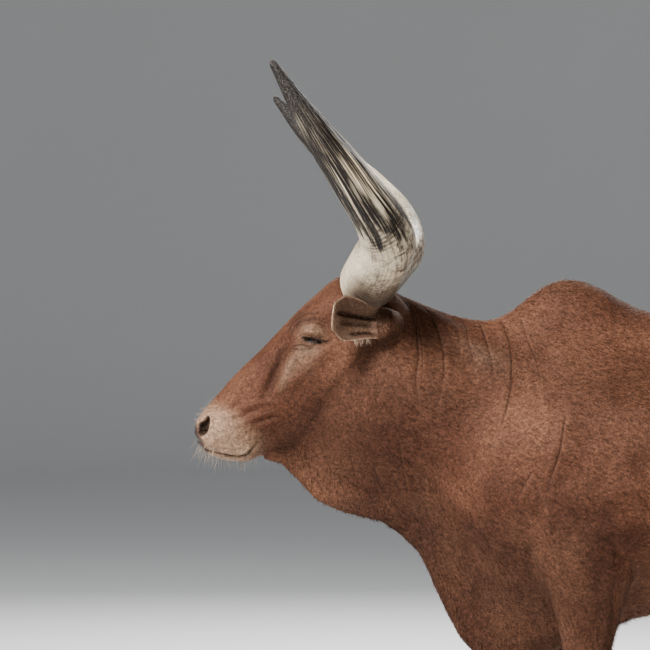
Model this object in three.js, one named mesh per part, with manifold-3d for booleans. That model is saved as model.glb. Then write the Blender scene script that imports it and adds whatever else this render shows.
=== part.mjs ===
// A life-size standing bull of the East African long-horned breed with a hump over the shoulders.
// Millimetres, +Z up. The bull faces -X and its left side is towards -Y.
// The sections are drawn in a side frame whose x = 0 lies 325 mm behind the muzzle, and the
// finished group is moved so that its box stands centred over the origin.
import * as THREE from "three";
import { mergeVertices } from "three/addons/utils/BufferGeometryUtils.js";
import Module from "manifold-3d";

const wasm = await Module();
wasm.setup();

// Driving sizes
const GAP = 0.3; // left between parts that meet
const HEAD_PITCH = THREE.MathUtils.degToRad(44); // the face line below the horizontal
const POLL = { x: 25, z: 1445 }; // top of the head, between the horns
const EYE = { s: 140, h: -62, y: 86, radius: 21, lid: 3 }; // in the head's own frame
const EYE_SLOPE = THREE.MathUtils.degToRad(9); // the outer corner of the eye lies lower
const CORONET = 72; // height of the hoof's upper edge
const HOOF = { length: 124, width: 106, cleft: 7 };
const TAIL_BONE_END = 660;
const SWITCH_TIP = 330;
const HEAD_SIDES = 28;
const HEAD_STEPS = 30;
const BODY_SIDES = 26;
const BODY_STEPS = 36;
const LEG_SIDES = 12;
const LEG_STEPS = 24;
const HORN_SIDES = 14;
const HORN_STEPS = 24;
const SLIVER = 0.08; // points that lie this close to a flat face are cleared away

// Small helpers
const LEVELS = [0.8, 0.4, 0, -0.4, -0.8]; // where a section's half widths are named, top to bottom
const WIDE = 1000; // more than half of the bull's width

// A smooth value at place t, counted in entries, along a list of numbers.
function along(list, t) {
  const last = list.length - 1;
  const i = Math.min(Math.floor(t), last - 1);
  const f = t - i;
  const [a, b, c, d] = [i - 1, i, i + 1, i + 2].map((k) => list[Math.min(Math.max(k, 0), last)]);
  return b + 0.5 * f * (c - a + f * (2 * a - 5 * b + 4 * c - d + f * (3 * (b - c) + d - a)));
}

// The half width of a section at height u, from 1 at its top to -1 at its bottom.
function halfWidth(widths, u) {
  const round = widths.map((w, i) => w / Math.sqrt(1 - LEVELS[i] ** 2));
  const t = THREE.MathUtils.clamp((LEVELS[0] - u) / 0.4, 0, LEVELS.length - 1);
  return along(round, t) * Math.sqrt(Math.max(0, 1 - u * u));
}

// One closed section in the plane through the top point, the bottom point and the Y axis.
function section(top, bottom, widths, sides) {
  const points = [];
  for (let k = 0; k < sides; k++) {
    const turn = (2 * Math.PI * k) / sides;
    const u = Math.cos(turn);
    const x = (top[0] + bottom[0]) / 2 + ((top[0] - bottom[0]) / 2) * u;
    const z = (top[1] + bottom[1]) / 2 + ((top[1] - bottom[1]) / 2) * u;
    points.push(new THREE.Vector3(x, Math.sign(Math.sin(turn)) * halfWidth(widths, u), z));
  }
  return points;
}

// A closed surface through a row of sections, with both ends closed by fans.
function loft(rings) {
  const sides = rings[0].length;
  const vertices = rings.flat();
  const ends = [rings[0], rings.at(-1)].map((ring) =>
    ring.reduce((sum, p) => sum.add(p), new THREE.Vector3()).divideScalar(sides),
  );
  vertices.push(...ends);
  const faces = [];
  const first = rings.length * sides;
  for (let k = 0; k < sides; k++) {
    const next = (k + 1) % sides;
    for (let i = 0; i < rings.length - 1; i++) {
      const [a, b, c, d] = [i * sides + k, i * sides + next, (i + 1) * sides + k, (i + 1) * sides + next];
      faces.push(a, b, c, b, d, c);
    }
    const base = first - sides;
    faces.push(first, next, k, first + 1, base + k, base + next);
  }
  const geometry = new THREE.BufferGeometry().setFromPoints(vertices);
  geometry.setIndex(faces);
  return geometry;
}

// A geometry as a solid, turned right side out.
function solid(geometry) {
  const bare = new THREE.BufferGeometry();
  bare.setAttribute("position", geometry.getAttribute("position"));
  if (geometry.index) bare.setIndex(geometry.index);
  const merged = mergeVertices(bare, 1e-3);
  const triVerts = new Uint32Array(merged.index.array);
  const make = () => new wasm.Manifold(
    new wasm.Mesh({ numProp: 3, vertProperties: merged.attributes.position.array, triVerts }),
  );
  const made = make();
  if (made.volume() > 0) return made;
  for (let i = 0; i < triVerts.length; i += 3) {
    [triVerts[i + 1], triVerts[i + 2]] = [triVerts[i + 2], triVerts[i + 1]];
  }
  return make();
}

const join = (solids) => solids.reduce((sum, next) => sum.add(next));

function largest(made) {
  const pieces = made.decompose().sort((a, b) => b.volume() - a.volume());
  return pieces[0];
}

// A prism over an outline in the XZ plane, from one y to another, grown on every side.
function prism(outline, from, to, grow = 0) {
  const count = outline.length;
  const shape = new THREE.Shape(
    outline.map(([x, z], i) => {
      const [px, pz] = outline[(i + count - 1) % count];
      const [nx, nz] = outline[(i + 1) % count];
      const before = new THREE.Vector2(z - pz, px - x).normalize();
      const after = new THREE.Vector2(nz - z, x - nx).normalize();
      const out = before.clone().add(after);
      out.multiplyScalar(grow / out.dot(after));
      return new THREE.Vector2(x + out.x, z + out.y);
    }),
  );
  const depth = to - from + 2 * grow;
  const geometry = new THREE.ExtrudeGeometry(shape, { depth, bevelEnabled: false });
  geometry.rotateX(Math.PI / 2).translate(0, to + grow, 0);
  return solid(geometry);
}

function ellipsoid(centre, radii, pitch = 0, yaw = 0, detail = 14) {
  const geometry = new THREE.SphereGeometry(1, detail, Math.ceil(detail * 0.6));
  geometry.scale(...radii).rotateZ(yaw).rotateY(pitch).translate(...centre);
  return solid(geometry);
}

// Rings round a curve, at even places, whose radii come from a list.
function tube(points, radii, sides, steps, grow = 0) {
  const curve = new THREE.CatmullRomCurve3(points.map((p) => new THREE.Vector3(...p)), false, "centripetal");
  const lateral = new THREE.Vector3(1, 0, 0);
  const rings = [];
  for (let i = 0; i <= steps; i++) {
    const t = i / steps;
    const tangent = curve.getTangent(t);
    const beyond = i === 0 ? -grow : i === steps ? grow : 0;
    const centre = curve.getPoint(t).addScaledVector(tangent, beyond);
    const side = lateral.clone().addScaledVector(tangent, -lateral.dot(tangent)).normalize();
    const up = tangent.clone().cross(side);
    const radius = along(radii, t * (radii.length - 1)) + grow;
    rings.push(
      Array.from({ length: sides }, (_, k) => {
        const turn = (2 * Math.PI * k) / sides;
        const point = centre.clone().addScaledVector(side, radius * Math.cos(turn));
        return point.addScaledVector(up, radius * Math.sin(turn));
      }),
    );
  }
  return loft(rings);
}

// Neck and trunk: top and bottom of each section as [x, z], and its half widths at the five levels
const TRUNK = [
  { top: [40, 1420], bottom: [-70, 1082], widths: [46, 68, 72, 54, 30] }, // inside the head
  { top: [95, 1430], bottom: [-156, 1008], widths: [54, 82, 84, 54, 17] }, // behind the chin
  { top: [150, 1430], bottom: [-98, 984], widths: [58, 92, 96, 62, 16] }, // throat
  { top: [205, 1412], bottom: [-28, 901], widths: [60, 100, 104, 66, 15] }, // throat fold
  { top: [262, 1389], bottom: [62, 862], widths: [58, 105, 113, 77, 16] },
  { top: [320, 1368], bottom: [148, 843], widths: [58, 110, 123, 88, 18] }, // step of the dewlap
  { top: [372, 1357], bottom: [222, 778], widths: [61, 118, 136, 102, 21] },
  { top: [420, 1357], bottom: [262, 704], widths: [64, 129, 155, 121, 26] }, // lowest of the crest
  { top: [470, 1381], bottom: [305, 612], widths: [66, 145, 180, 147, 31] }, // front of the shoulder
  { top: [538, 1436], bottom: [362, 522], widths: [72, 168, 216, 184, 42] },
  { top: [612, 1458], bottom: [450, 495], widths: [82, 197, 250, 218, 66] }, // top of the hump, brisket
  { top: [690, 1434], bottom: [590, 526], widths: [92, 222, 276, 250, 100] },
  { top: [765, 1393], bottom: [735, 592], widths: [98, 228, 286, 268, 128] },
  { top: [870, 1364], bottom: [880, 622], widths: [116, 248, 306, 288, 148] }, // behind the elbow
  { top: [1050, 1346], bottom: [1060, 606], widths: [136, 276, 334, 314, 162] },
  { top: [1240, 1346], bottom: [1260, 602], widths: [146, 284, 338, 314, 148] }, // belly
  { top: [1410, 1360], bottom: [1440, 654], widths: [154, 274, 314, 280, 122] }, // flank
  { top: [1560, 1372], bottom: [1595, 736], widths: [164, 264, 286, 256, 120] }, // hip bones
  { top: [1700, 1360], bottom: [1735, 796], widths: [138, 238, 262, 240, 118] },
  { top: [1818, 1334], bottom: [1852, 850], widths: [100, 198, 226, 204, 106] },
  { top: [1895, 1300], bottom: [1922, 930], widths: [66, 146, 172, 150, 78] },
  { top: [1940, 1252], bottom: [1956, 1020], widths: [36, 80, 94, 82, 44] }, // seat bones
  { top: [1962, 1190], bottom: [1966, 1104], widths: [10, 22, 26, 22, 12] },
];

// The trunk's muscles and bones: a swelling at [x, |y|, z] with a reach and a height
const TRUNK_FORMS = [
  { at: [600, 250, 1150], reach: [70, 200, 170], height: 16 }, // shoulder blade
  { at: [530, 200, 880], reach: [80, 120, 90], height: 20 }, // point of the shoulder
  { at: [700, 260, 960], reach: [90, 160, 110], height: 14 }, // upper arm
  { at: [1555, 230, 1300], reach: [55, 120, 50], height: 18 }, // hip bone
  { at: [1480, 300, 1150], reach: [70, 120, 100], height: -22 }, // hollow of the flank
  { at: [1720, 240, 1040], reach: [130, 160, 150], height: 16 }, // thigh
  { at: [790, 290, 1180], reach: [60, 160, 150], height: -10 }, // behind the shoulder
  { at: [430, 150, 1290], reach: [90, 120, 45], height: -8 }, // below the crest
];

// Moves the points of a surface along their normals by a sum of soft swellings. The forms are
// placed in the frame that inFrame turns x and z into.
function swell(geometry, forms, inFrame = (x, z) => [x, z]) {
  geometry.computeVertexNormals();
  const place = geometry.attributes.position;
  const normals = geometry.attributes.normal;
  const point = new THREE.Vector3();
  const normal = new THREE.Vector3();
  for (let i = 0; i < place.count; i++) {
    point.fromBufferAttribute(place, i);
    const [a, b] = inFrame(point.x, point.z);
    const p = [a, Math.abs(point.y), b];
    let height = 0;
    for (const form of forms) {
      const d = form.at.reduce((sum, c, k) => sum + ((p[k] - c) / form.reach[k]) ** 2, 0);
      height += form.height * Math.exp(-d);
    }
    point.addScaledVector(normal.fromBufferAttribute(normals, i), height);
    place.setXYZ(i, point.x, point.y, point.z);
  }
  return geometry;
}

function makeTrunk() {
  const rings = [];
  for (let i = 0; i <= BODY_STEPS; i++) {
    const t = (i / BODY_STEPS) * (TRUNK.length - 1);
    const at = (key, k) => along(TRUNK.map((s) => s[key][k]), t);
    rings.push(
      section(
        [at("top", 0), at("top", 1)],
        [at("bottom", 0), at("bottom", 1)],
        LEVELS.map((_, k) => at("widths", k)),
        BODY_SIDES,
      ),
    );
  }
  return solid(swell(loft(rings), TRUNK_FORMS));
}

// Head: s runs from the poll to the muzzle along the face, and h stands up from the face line
const toMuzzle = { x: -Math.cos(HEAD_PITCH), z: -Math.sin(HEAD_PITCH) };
const toBrow = { x: -Math.sin(HEAD_PITCH), z: Math.cos(HEAD_PITCH) };
function headPoint(s, h) {
  return [POLL.x + s * toMuzzle.x + h * toBrow.x, POLL.z + s * toMuzzle.z + h * toBrow.z];
}
function inHead(x, z) {
  const dx = x - POLL.x;
  const dz = z - POLL.z;
  return [dx * toMuzzle.x + dz * toMuzzle.z, dx * toBrow.x + dz * toBrow.z];
}

const HEAD = [
  { s: -92, top: -70, bottom: -200, widths: [24, 42, 48, 42, 22] },
  { s: -70, top: -34, bottom: -226, widths: [46, 72, 80, 74, 40] },
  { s: -35, top: -10, bottom: -240, widths: [62, 88, 94, 88, 50] }, // nape and ear roots
  { s: 0, top: 0, bottom: -250, widths: [70, 94, 97, 92, 52] }, // poll
  { s: 50, top: 8, bottom: -266, widths: [76, 97, 98, 92, 48] },
  { s: 100, top: 13, bottom: -278, widths: [76, 99, 98, 90, 44] }, // forehead
  { s: 150, top: 13, bottom: -284, widths: [70, 96, 96, 86, 40] }, // eyes
  { s: 200, top: 10, bottom: -284, widths: [60, 86, 91, 82, 38] },
  { s: 250, top: 7, bottom: -274, widths: [52, 73, 83, 75, 38] }, // cheek ends
  { s: 300, top: 8, bottom: -256, widths: [47, 64, 73, 66, 38] },
  { s: 350, top: 7, bottom: -232, widths: [43, 59, 66, 59, 37] },
  { s: 395, top: 3, bottom: -206, widths: [41, 58, 63, 57, 38] }, // bridge of the nose
  { s: 432, top: 1, bottom: -182, widths: [41, 62, 66, 59, 41] },
  { s: 462, top: -2, bottom: -170, widths: [47, 70, 74, 66, 47] }, // nostrils
  { s: 487, top: -9, bottom: -150, widths: [48, 71, 75, 66, 46] },
  { s: 506, top: -22, bottom: -126, widths: [43, 63, 68, 58, 38] },
  { s: 519, top: -38, bottom: -102, widths: [31, 47, 52, 42, 27] },
  { s: 526, top: -56, bottom: -82, widths: [11, 18, 21, 17, 10] }, // front of the muzzle
];

// The head's swellings and hollows, at [s, h] and half way out, with reach along s and h
const HEAD_FORMS = [
  { s: 140, h: -62, y: 95, reach: [62, 46], height: 8 }, // orbit
  { s: 126, h: -32, y: 90, reach: [48, 18], height: 10 }, // brow
  { s: 150, h: -100, y: 95, reach: [46, 15], height: 8 }, // lower rim of the orbit
  { s: 240, h: -100, y: 85, reach: [62, 15], height: 6 }, // crest of the cheek bone
  { s: 130, h: -185, y: 90, reach: [75, 62], height: 13 }, // cheek muscle
  { s: 60, h: -75, y: 95, reach: [34, 26], height: -7 }, // temple
  { s: 300, h: -55, y: 55, reach: [60, 20], height: -4 }, // side of the nose
  { s: 330, h: -165, y: 70, reach: [60, 22], height: -5 }, // above the bars of the jaw
  { s: 400, h: -92, y: 62, reach: [36, 14], height: 4 }, // fold over the lip
  { s: 474, h: -22, y: 60, reach: [24, 16], height: 8 }, // wing of the nostril
  { s: 470, h: -72, y: 70, reach: [34, 20], height: 6 }, // upper lip
  { s: 484, h: -118, y: 52, reach: [26, 13], height: 6 }, // lower lip
  { s: 452, h: -158, y: 45, reach: [26, 22], height: 7 }, // chin
  { s: 402, h: -176, y: 45, reach: [24, 24], height: -8 }, // behind the chin
  { s: 0, h: -6, y: 0, reach: [40, 30], height: 10 }, // boss of the poll
];

function makeHeadLoft() {
  const acrossHead = 60;
  const rings = [];
  for (let i = 0; i <= HEAD_STEPS; i++) {
    const t = (i / HEAD_STEPS) * (HEAD.length - 1);
    const at = (key) => along(HEAD.map((s) => s[key]), t);
    const widths = LEVELS.map((_, k) => along(HEAD.map((s) => s.widths[k]), t));
    rings.push(section(headPoint(at("s"), at("top")), headPoint(at("s"), at("bottom")), widths, HEAD_SIDES));
  }
  const forms = HEAD_FORMS.map(({ s, h, y, reach, height }) => (
    { at: [s, y, h], reach: [reach[0], acrossHead, reach[1]], height }
  ));
  return solid(swell(loft(rings), forms, inHead));
}

// The centre of an eyeball; side is -1 on the left and 1 on the right.
function eyeCentre(side) {
  const [x, z] = headPoint(EYE.s, EYE.h);
  return [x, side * EYE.y, z];
}

// The lids: an almond-shaped mound over the eyeball
function makeLids(side) {
  return ellipsoid(eyeCentre(side), [39, EYE.radius + EYE.lid, 27], EYE_SLOPE, 0, 14);
}

// The opening between the lids: a flat lens at the front of the ball, low at its inner corner
function lidOpening(side) {
  const [x, y, z] = eyeCentre(side);
  return ellipsoid([x - 2, y + side * (EYE.radius + 1), z - 1], [27, 13, 7.5], EYE_SLOPE, 0, 14);
}

// The slit between the lips, from in front of the muzzle to the corner of the mouth
function mouthSlit() {
  const line = [[545, -70], [505, -84], [470, -108], [440, -132], [412, -148]];
  const open = [3.2, 3.2, 3, 2.6, 1];
  const upper = line.map(([s, h], i) => headPoint(s, h + open[i] / 2));
  const lower = line.map(([s, h], i) => headPoint(s, h - open[i] / 2));
  return prism([...upper, ...lower.reverse()], -WIDE, WIDE);
}

// A nostril: a long hollow that curls back at its lower end like a comma
function nostril(side) {
  const [x, z] = headPoint(480, -27);
  const [curlX, curlZ] = headPoint(497, -38);
  const main = ellipsoid([x, side * 63, z], [27, 22, 10], -0.96, 0, 12);
  return main.add(ellipsoid([curlX, side * 62, curlZ], [16, 20, 10], 0.1, 0, 10));
}

function makeEye(side, grow = 0) {
  const r = EYE.radius + grow;
  return ellipsoid(eyeCentre(side), [r, r, r], 0, 0, 14);
}

// Horns: the line of each horn's core as [x, y, z], out of the poll, back, and up in a lyre
const HORN_LEFT = [
  [86, -56, 1427], [104, -108, 1444], [131, -210, 1489], [150, -320, 1543], [121, -402, 1606],
  [70, -465, 1672], [8, -510, 1755], [-57, -540, 1846], [-125, -560, 1953],
];
// The right horn sweeps 45 mm further back in its bend, as the photograph shows.
const HORN_RIGHT = [
  [86, 56, 1427], [106, 108, 1445], [150, 210, 1492], [194, 320, 1554], [176, 408, 1626],
  [116, 473, 1700], [36, 517, 1778], [-50, 545, 1856], [-137, 560, 1953],
];
const HORN_RADII = [50, 69, 72, 67, 60, 52, 41, 26, 6];

// The haired boss that carries both horns across the poll
const BOSS_LINE = [[101, -98, 1441], [84, -50, 1426], [76, 0, 1416], [84, 50, 1426], [101, 98, 1441]];
const BOSS_RADII = [56, 58, 57, 58, 56];

function makeBoss() {
  return solid(tube(BOSS_LINE, BOSS_RADII, 16, 8));
}

function makeHorn(line, grow = 0) {
  return solid(tube(line, HORN_RADII, HORN_SIDES, HORN_STEPS, grow));
}

// Ears: a cupped leaf that grows forward and outward from behind the horn
const EAR = {
  root: { x: 172, y: 84, z: 1339 },
  tip: { x: 20, y: 264, z: 1361 },
  halfWidths: [24, 32, 36, 41, 49, 52, 46, 19],
  cup: [12, 17, 26, 31, 29, 22, 12, 3], // depth of the hollow
  thickness: [22, 17, 9, 6, 5, 4.5, 4, 3],
};

function makeEar(side, grow = 0) {
  const root = new THREE.Vector3(EAR.root.x, side * EAR.root.y, EAR.root.z);
  const tip = new THREE.Vector3(EAR.tip.x, side * EAR.tip.y, EAR.tip.z);
  const axis = tip.clone().sub(root).normalize();
  const upright = new THREE.Vector3(0.06, 0, 1);
  const up = upright.clone().addScaledVector(axis, -upright.dot(axis)).normalize();
  const open = axis.clone().cross(up).multiplyScalar(side).normalize(); // the way the hollow faces
  const across = 8;
  const steps = 12;
  const rings = [];
  for (let i = 0; i <= steps; i++) {
    const t = i / steps;
    const pick = (list) => along(list, t * (list.length - 1));
    const centre = root.clone().lerp(tip, t).addScaledVector(axis, i === 0 ? -grow : 0);
    const width = pick(EAR.halfWidths) + grow;
    const depth = pick(EAR.cup);
    const thick = pick(EAR.thickness) / 2 + grow;
    const face = (w, way) => {
      const sink = depth * (1 - w * w) - way * thick * Math.sqrt(Math.max(0.04, 1 - w ** 4));
      return centre.clone().addScaledVector(up, width * w).addScaledVector(open, -sink);
    };
    const ring = [];
    for (let k = 0; k < across; k++) ring.push(face(-1 + (2 * k) / across, 1));
    for (let k = 0; k < across; k++) ring.push(face(1 - (2 * k) / across, -1));
    rings.push(ring);
  }
  return solid(loft(rings));
}

// Legs: centre and half sizes of level sections, downwards; y is the distance from the middle plane
const FORELEG = [
  { z: 1030, x: 600, rx: 92, y: 165, ry: 60 },
  { z: 930, x: 602, rx: 118, y: 180, ry: 72 },
  { z: 830, x: 612, rx: 130, y: 184, ry: 76 },
  { z: 740, x: 632, rx: 122, y: 178, ry: 74 }, // elbow
  { z: 650, x: 636, rx: 92, y: 170, ry: 64 },
  { z: 570, x: 632, rx: 68, y: 164, ry: 54 },
  { z: 500, x: 626, rx: 55, y: 160, ry: 48 },
  { z: 440, x: 622, rx: 52, y: 158, ry: 50 },
  { z: 400, x: 621, rx: 52, y: 157, ry: 50 }, // knee
  { z: 350, x: 626, rx: 43, y: 156, ry: 41 },
  { z: 290, x: 631, rx: 35, y: 155, ry: 32 },
  { z: 220, x: 633, rx: 35, y: 155, ry: 31 }, // cannon
  { z: 168, x: 633, rx: 43, y: 155, ry: 39 }, // fetlock
  { z: 130, x: 628, rx: 43, y: 155, ry: 41 },
  { z: 98, x: 614, rx: 40, y: 155, ry: 41 }, // pastern
  { z: CORONET, x: 603, rx: 48, y: 155, ry: 46 },
];
const HINDLEG = [
  { z: 1120, x: 1720, rx: 150, y: 150, ry: 76 },
  { z: 1020, x: 1735, rx: 176, y: 168, ry: 90 },
  { z: 920, x: 1738, rx: 184, y: 172, ry: 94 },
  { z: 820, x: 1726, rx: 168, y: 168, ry: 88 }, // stifle
  { z: 740, x: 1736, rx: 128, y: 163, ry: 74 },
  { z: 660, x: 1766, rx: 90, y: 160, ry: 58 },
  { z: 590, x: 1800, rx: 67, y: 158, ry: 46 },
  { z: 540, x: 1820, rx: 64, y: 157, ry: 42 }, // hock
  { z: 480, x: 1824, rx: 56, y: 156, ry: 42 },
  { z: 420, x: 1816, rx: 46, y: 155, ry: 38 },
  { z: 350, x: 1808, rx: 38, y: 155, ry: 33 },
  { z: 260, x: 1802, rx: 37, y: 155, ry: 32 }, // cannon
  { z: 175, x: 1799, rx: 44, y: 155, ry: 39 }, // fetlock
  { z: 132, x: 1792, rx: 43, y: 155, ry: 41 },
  { z: 98, x: 1777, rx: 40, y: 155, ry: 41 },
  { z: CORONET, x: 1766, rx: 47, y: 155, ry: 45 },
];
const LEGS = [
  { name: "foreleg_left", side: -1, line: FORELEG, lean: 26 },
  { name: "foreleg_right", side: 1, line: FORELEG, lean: -48 },
  { name: "hindleg_left", side: -1, line: HINDLEG, lean: 34 },
  { name: "hindleg_right", side: 1, line: HINDLEG, lean: -96 },
];

// How far a leg's section at height z is set back by the leg's lean
function leanAt(leg, z) {
  const top = 900;
  return leg.lean * THREE.MathUtils.clamp((top - z) / (top - CORONET), 0, 1);
}

function makeLeg(leg) {
  const rings = [];
  for (let i = 0; i <= LEG_STEPS; i++) {
    const t = (i / LEG_STEPS) * (leg.line.length - 1);
    const at = (key) => along(leg.line.map((s) => s[key]), t);
    const z = at("z");
    rings.push(
      Array.from({ length: LEG_SIDES }, (_, k) => {
        const turn = (2 * Math.PI * k) / LEG_SIDES;
        const x = at("x") + leanAt(leg, z) + at("rx") * Math.cos(turn);
        return new THREE.Vector3(x, leg.side * at("y") + at("ry") * Math.sin(turn), z);
      }),
    );
  }
  return solid(loft(rings));
}

// One claw of a hoof: flat towards the cleft, pointed at the toe, and level underneath
function makeClaw(leg, half) {
  const foot = leg.line.at(-1);
  const levels = [
    { z: CORONET - GAP, length: 0.76, width: 0.86, back: 6 },
    { z: 48, length: 0.86, width: 0.93, back: 2 },
    { z: 22, length: 0.95, width: 0.98, back: -2 },
    { z: 5, length: 1, width: 1, back: -5 },
    { z: 0, length: 0.97, width: 0.95, back: -5 },
  ];
  const sides = 12;
  const rings = levels.map(({ z, length, width, back }) =>
    Array.from({ length: sides }, (_, k) => {
      const turn = (2 * Math.PI * k) / sides;
      const towardsToe = Math.cos(turn);
      const outwards = Math.sin(turn);
      const taper = 1 - 0.3 * Math.max(0, towardsToe) ** 2;
      const spread = outwards > 0 ? HOOF.width / 2 - HOOF.cleft / 2 - 14 : 14;
      const x = foot.x + leanAt(leg, CORONET) + back - (HOOF.length / 2) * length * towardsToe - 6;
      const y = HOOF.cleft / 2 + 14 + spread * outwards * width * taper;
      return new THREE.Vector3(x, leg.side * foot.y + half * y, z);
    }),
  );
  return solid(loft(rings));
}

// The small dew claws behind the fetlock
function makeDewclaw(leg, half, grow = 0) {
  const fetlock = leg.line.at(-4);
  const r = 14 + grow;
  const long = 30 + grow;
  const root = 14 + grow;
  const profile = [
    [0, -long], [0.5 * r, -0.82 * long], [0.85 * r, -0.4 * long], [r, 0], [0.7 * r, 0.85 * root], [0, root],
  ];
  const geometry = new THREE.LatheGeometry(profile.map(([a, b]) => new THREE.Vector2(a, b)), 8);
  geometry.rotateX(Math.PI / 2).rotateY(-0.55);
  geometry.translate(fetlock.x + leanAt(leg, 130) + 38, leg.side * fetlock.y + half * 23, 132);
  return solid(geometry);
}

// Tail: bone and skin down to the switch
const TAIL_LINE = [
  [1880, 0, 1296], [1945, 0, 1286], [1998, 0, 1248], [2024, 0, 1170], [2032, 0, 1040],
  [2030, 0, 900], [2026, 0, 770], [2024, 0, TAIL_BONE_END],
];
const TAIL_RADII = [34, 36, 33, 27, 22, 18, 16, 15];

function makeTail() {
  return solid(tube(TAIL_LINE, TAIL_RADII, 12, 22));
}

// The switch: long flat locks in tiers over a core that reaches half way down
const SWITCH_CORE = [[0, 0], [15, 0], [21, 30], [24, 80], [19, 130], [8, 158], [0, 163]]; // radius, depth
const LOCK_TIERS = [
  { count: 6, root: 638, tip: 486, out: 38, width: 36 },
  { count: 6, root: 604, tip: 430, out: 33, width: 32 },
  { count: 6, root: 566, tip: 376, out: 26, width: 27 },
  { count: 3, root: 530, tip: SWITCH_TIP, out: 13, width: 24 },
];
const LOCK_THICKNESS = 5;
const LOCK_SHAPE = [
  { down: 0, out: 0.3, width: 0.5, thick: 1 },
  { down: 0.3, out: 0.96, width: 1, thick: 1 },
  { down: 0.68, out: 1, width: 0.74, thick: 0.8 },
  { down: 1, out: 0.72, width: 0.08, thick: 0.2 },
];

// One lock: it leaves the core, bends down, sways to one side, and tapers to its tip.
function makeLock(x, turn, sway, { root, tip, out, width }) {
  const rings = LOCK_SHAPE.map((at) => {
    const angle = turn + sway * at.down ** 2;
    const outward = new THREE.Vector3(Math.cos(angle), Math.sin(angle), 0);
    const across = new THREE.Vector3(-outward.y, outward.x, 0).multiplyScalar((width * at.width) / 2);
    const centre = new THREE.Vector3(x, 0, root + (tip - root) * at.down).addScaledVector(outward, out * at.out);
    const half = (LOCK_THICKNESS * at.thick) / 2;
    return [
      centre.clone().addScaledVector(outward, half),
      centre.clone().add(across),
      centre.clone().addScaledVector(outward, -half),
      centre.clone().sub(across),
    ];
  });
  return solid(loft(rings));
}

function makeSwitch() {
  const [x] = TAIL_LINE.at(-1);
  const profile = SWITCH_CORE.map(([r, depth]) => new THREE.Vector2(r, -depth));
  const core = new THREE.LatheGeometry(profile, 12);
  core.rotateX(Math.PI / 2).translate(x, 0, TAIL_BONE_END - GAP);
  THREE.MathUtils.seededRandom(7);
  const uneven = (spread) => spread * (THREE.MathUtils.seededRandom() - 0.5);
  const locks = LOCK_TIERS.flatMap((tier, row) =>
    Array.from({ length: tier.count }, (_, k) => {
      const turn = (2 * Math.PI * (k + row / 2)) / tier.count + uneven(0.2);
      const tip = tier.tip + (row < LOCK_TIERS.length - 1 ? uneven(44) : 0);
      return makeLock(x, turn, 0.3 + uneven(0.3), { ...tier, tip });
    }),
  );
  return join([solid(core), ...locks]);
}

// Forms of the bull's underside, each an ellipsoid on the middle plane: fold of the sheath, and scrotum
const UNDERSIDE = [
  { centre: [1215, 0, 622], radii: [150, 26, 56], pitch: 0.1 },
  { centre: [1105, 0, 592], radii: [42, 22, 40], pitch: 0.9 },
  { centre: [1576, 0, 690], radii: [46, 40, 90], pitch: 0.08 },
  { centre: [1580, 0, 640], radii: [54, 58, 72], pitch: 0.08 },
];

function makeUnderside() {
  return UNDERSIDE.map(({ centre, radii, pitch }) => ellipsoid(centre, radii, pitch, 0, 10));
}

// Where the whole bull is parted: an outline in the side view, and its reach across
const REGIONS = [
  {
    name: "head",
    outline: [
      [-600, 700], [-210, 700], [-158, 1024], [-60, 1046], [40, 1072], [134, 1150],
      [180, 1300], [204, 1420], [215, 1700], [-600, 1700],
    ],
    from: -WIDE,
    to: WIDE,
  },
  {
    name: "neck",
    outline: [[-260, 300], [330, 300], [455, 850], [520, 1150], [470, 1350], [470, 1700], [-260, 1700]],
    from: -WIDE,
    to: WIDE,
  },
  {
    name: "hump",
    outline: [[460, 1350], [880, 1366], [880, 1700], [460, 1700]],
    from: -WIDE,
    to: WIDE,
  },
  {
    name: "tail",
    outline: [[1985, 0], [2300, 0], [2300, 1500], [1915, 1500], [1930, 1330], [1986, 1230]],
    from: -WIDE,
    to: WIDE,
  },
  ...LEGS.map((leg) => {
    const fore = leg.line === FORELEG;
    const outline = fore
      ? [[480, 0], [790, 0], [790, 720], [650, 850], [520, 790], [480, 640]]
      : [[1540, 0], [1984, 0], [1984, 880], [1800, 960], [1610, 900], [1500, 760], [1540, 600]];
    const inner = fore ? 55 : 66;
    return {
      name: leg.name,
      outline,
      from: leg.side > 0 ? inner : -WIDE,
      to: leg.side > 0 ? WIDE : -inner,
    };
  }),
];

// Materials
const surface = (color, roughness) => new THREE.MeshStandardMaterial({ color, roughness, metalness: 0 });
const HIDE = surface(0x5a4438, 0.75);
const HORN = surface(0xd8ceb8, 0.45);
const HOOF_HORN = surface(0x2c2622, 0.5);
const EYEBALL = surface(0x120d0a, 0.08);
const TAIL_HAIR = surface(0x241b16, 0.7);

const bull = new THREE.Group();

function addPart(name, made, material) {
  const { vertProperties, triVerts } = largest(made).simplify(SLIVER).getMesh();
  const geometry = new THREE.BufferGeometry();
  geometry.setAttribute("position", new THREE.BufferAttribute(new Float32Array(vertProperties), 3));
  geometry.setIndex(new THREE.BufferAttribute(new Uint32Array(triVerts), 1));
  const mesh = new THREE.Mesh(geometry, material);
  mesh.name = name;
  bull.add(mesh);
}

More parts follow.
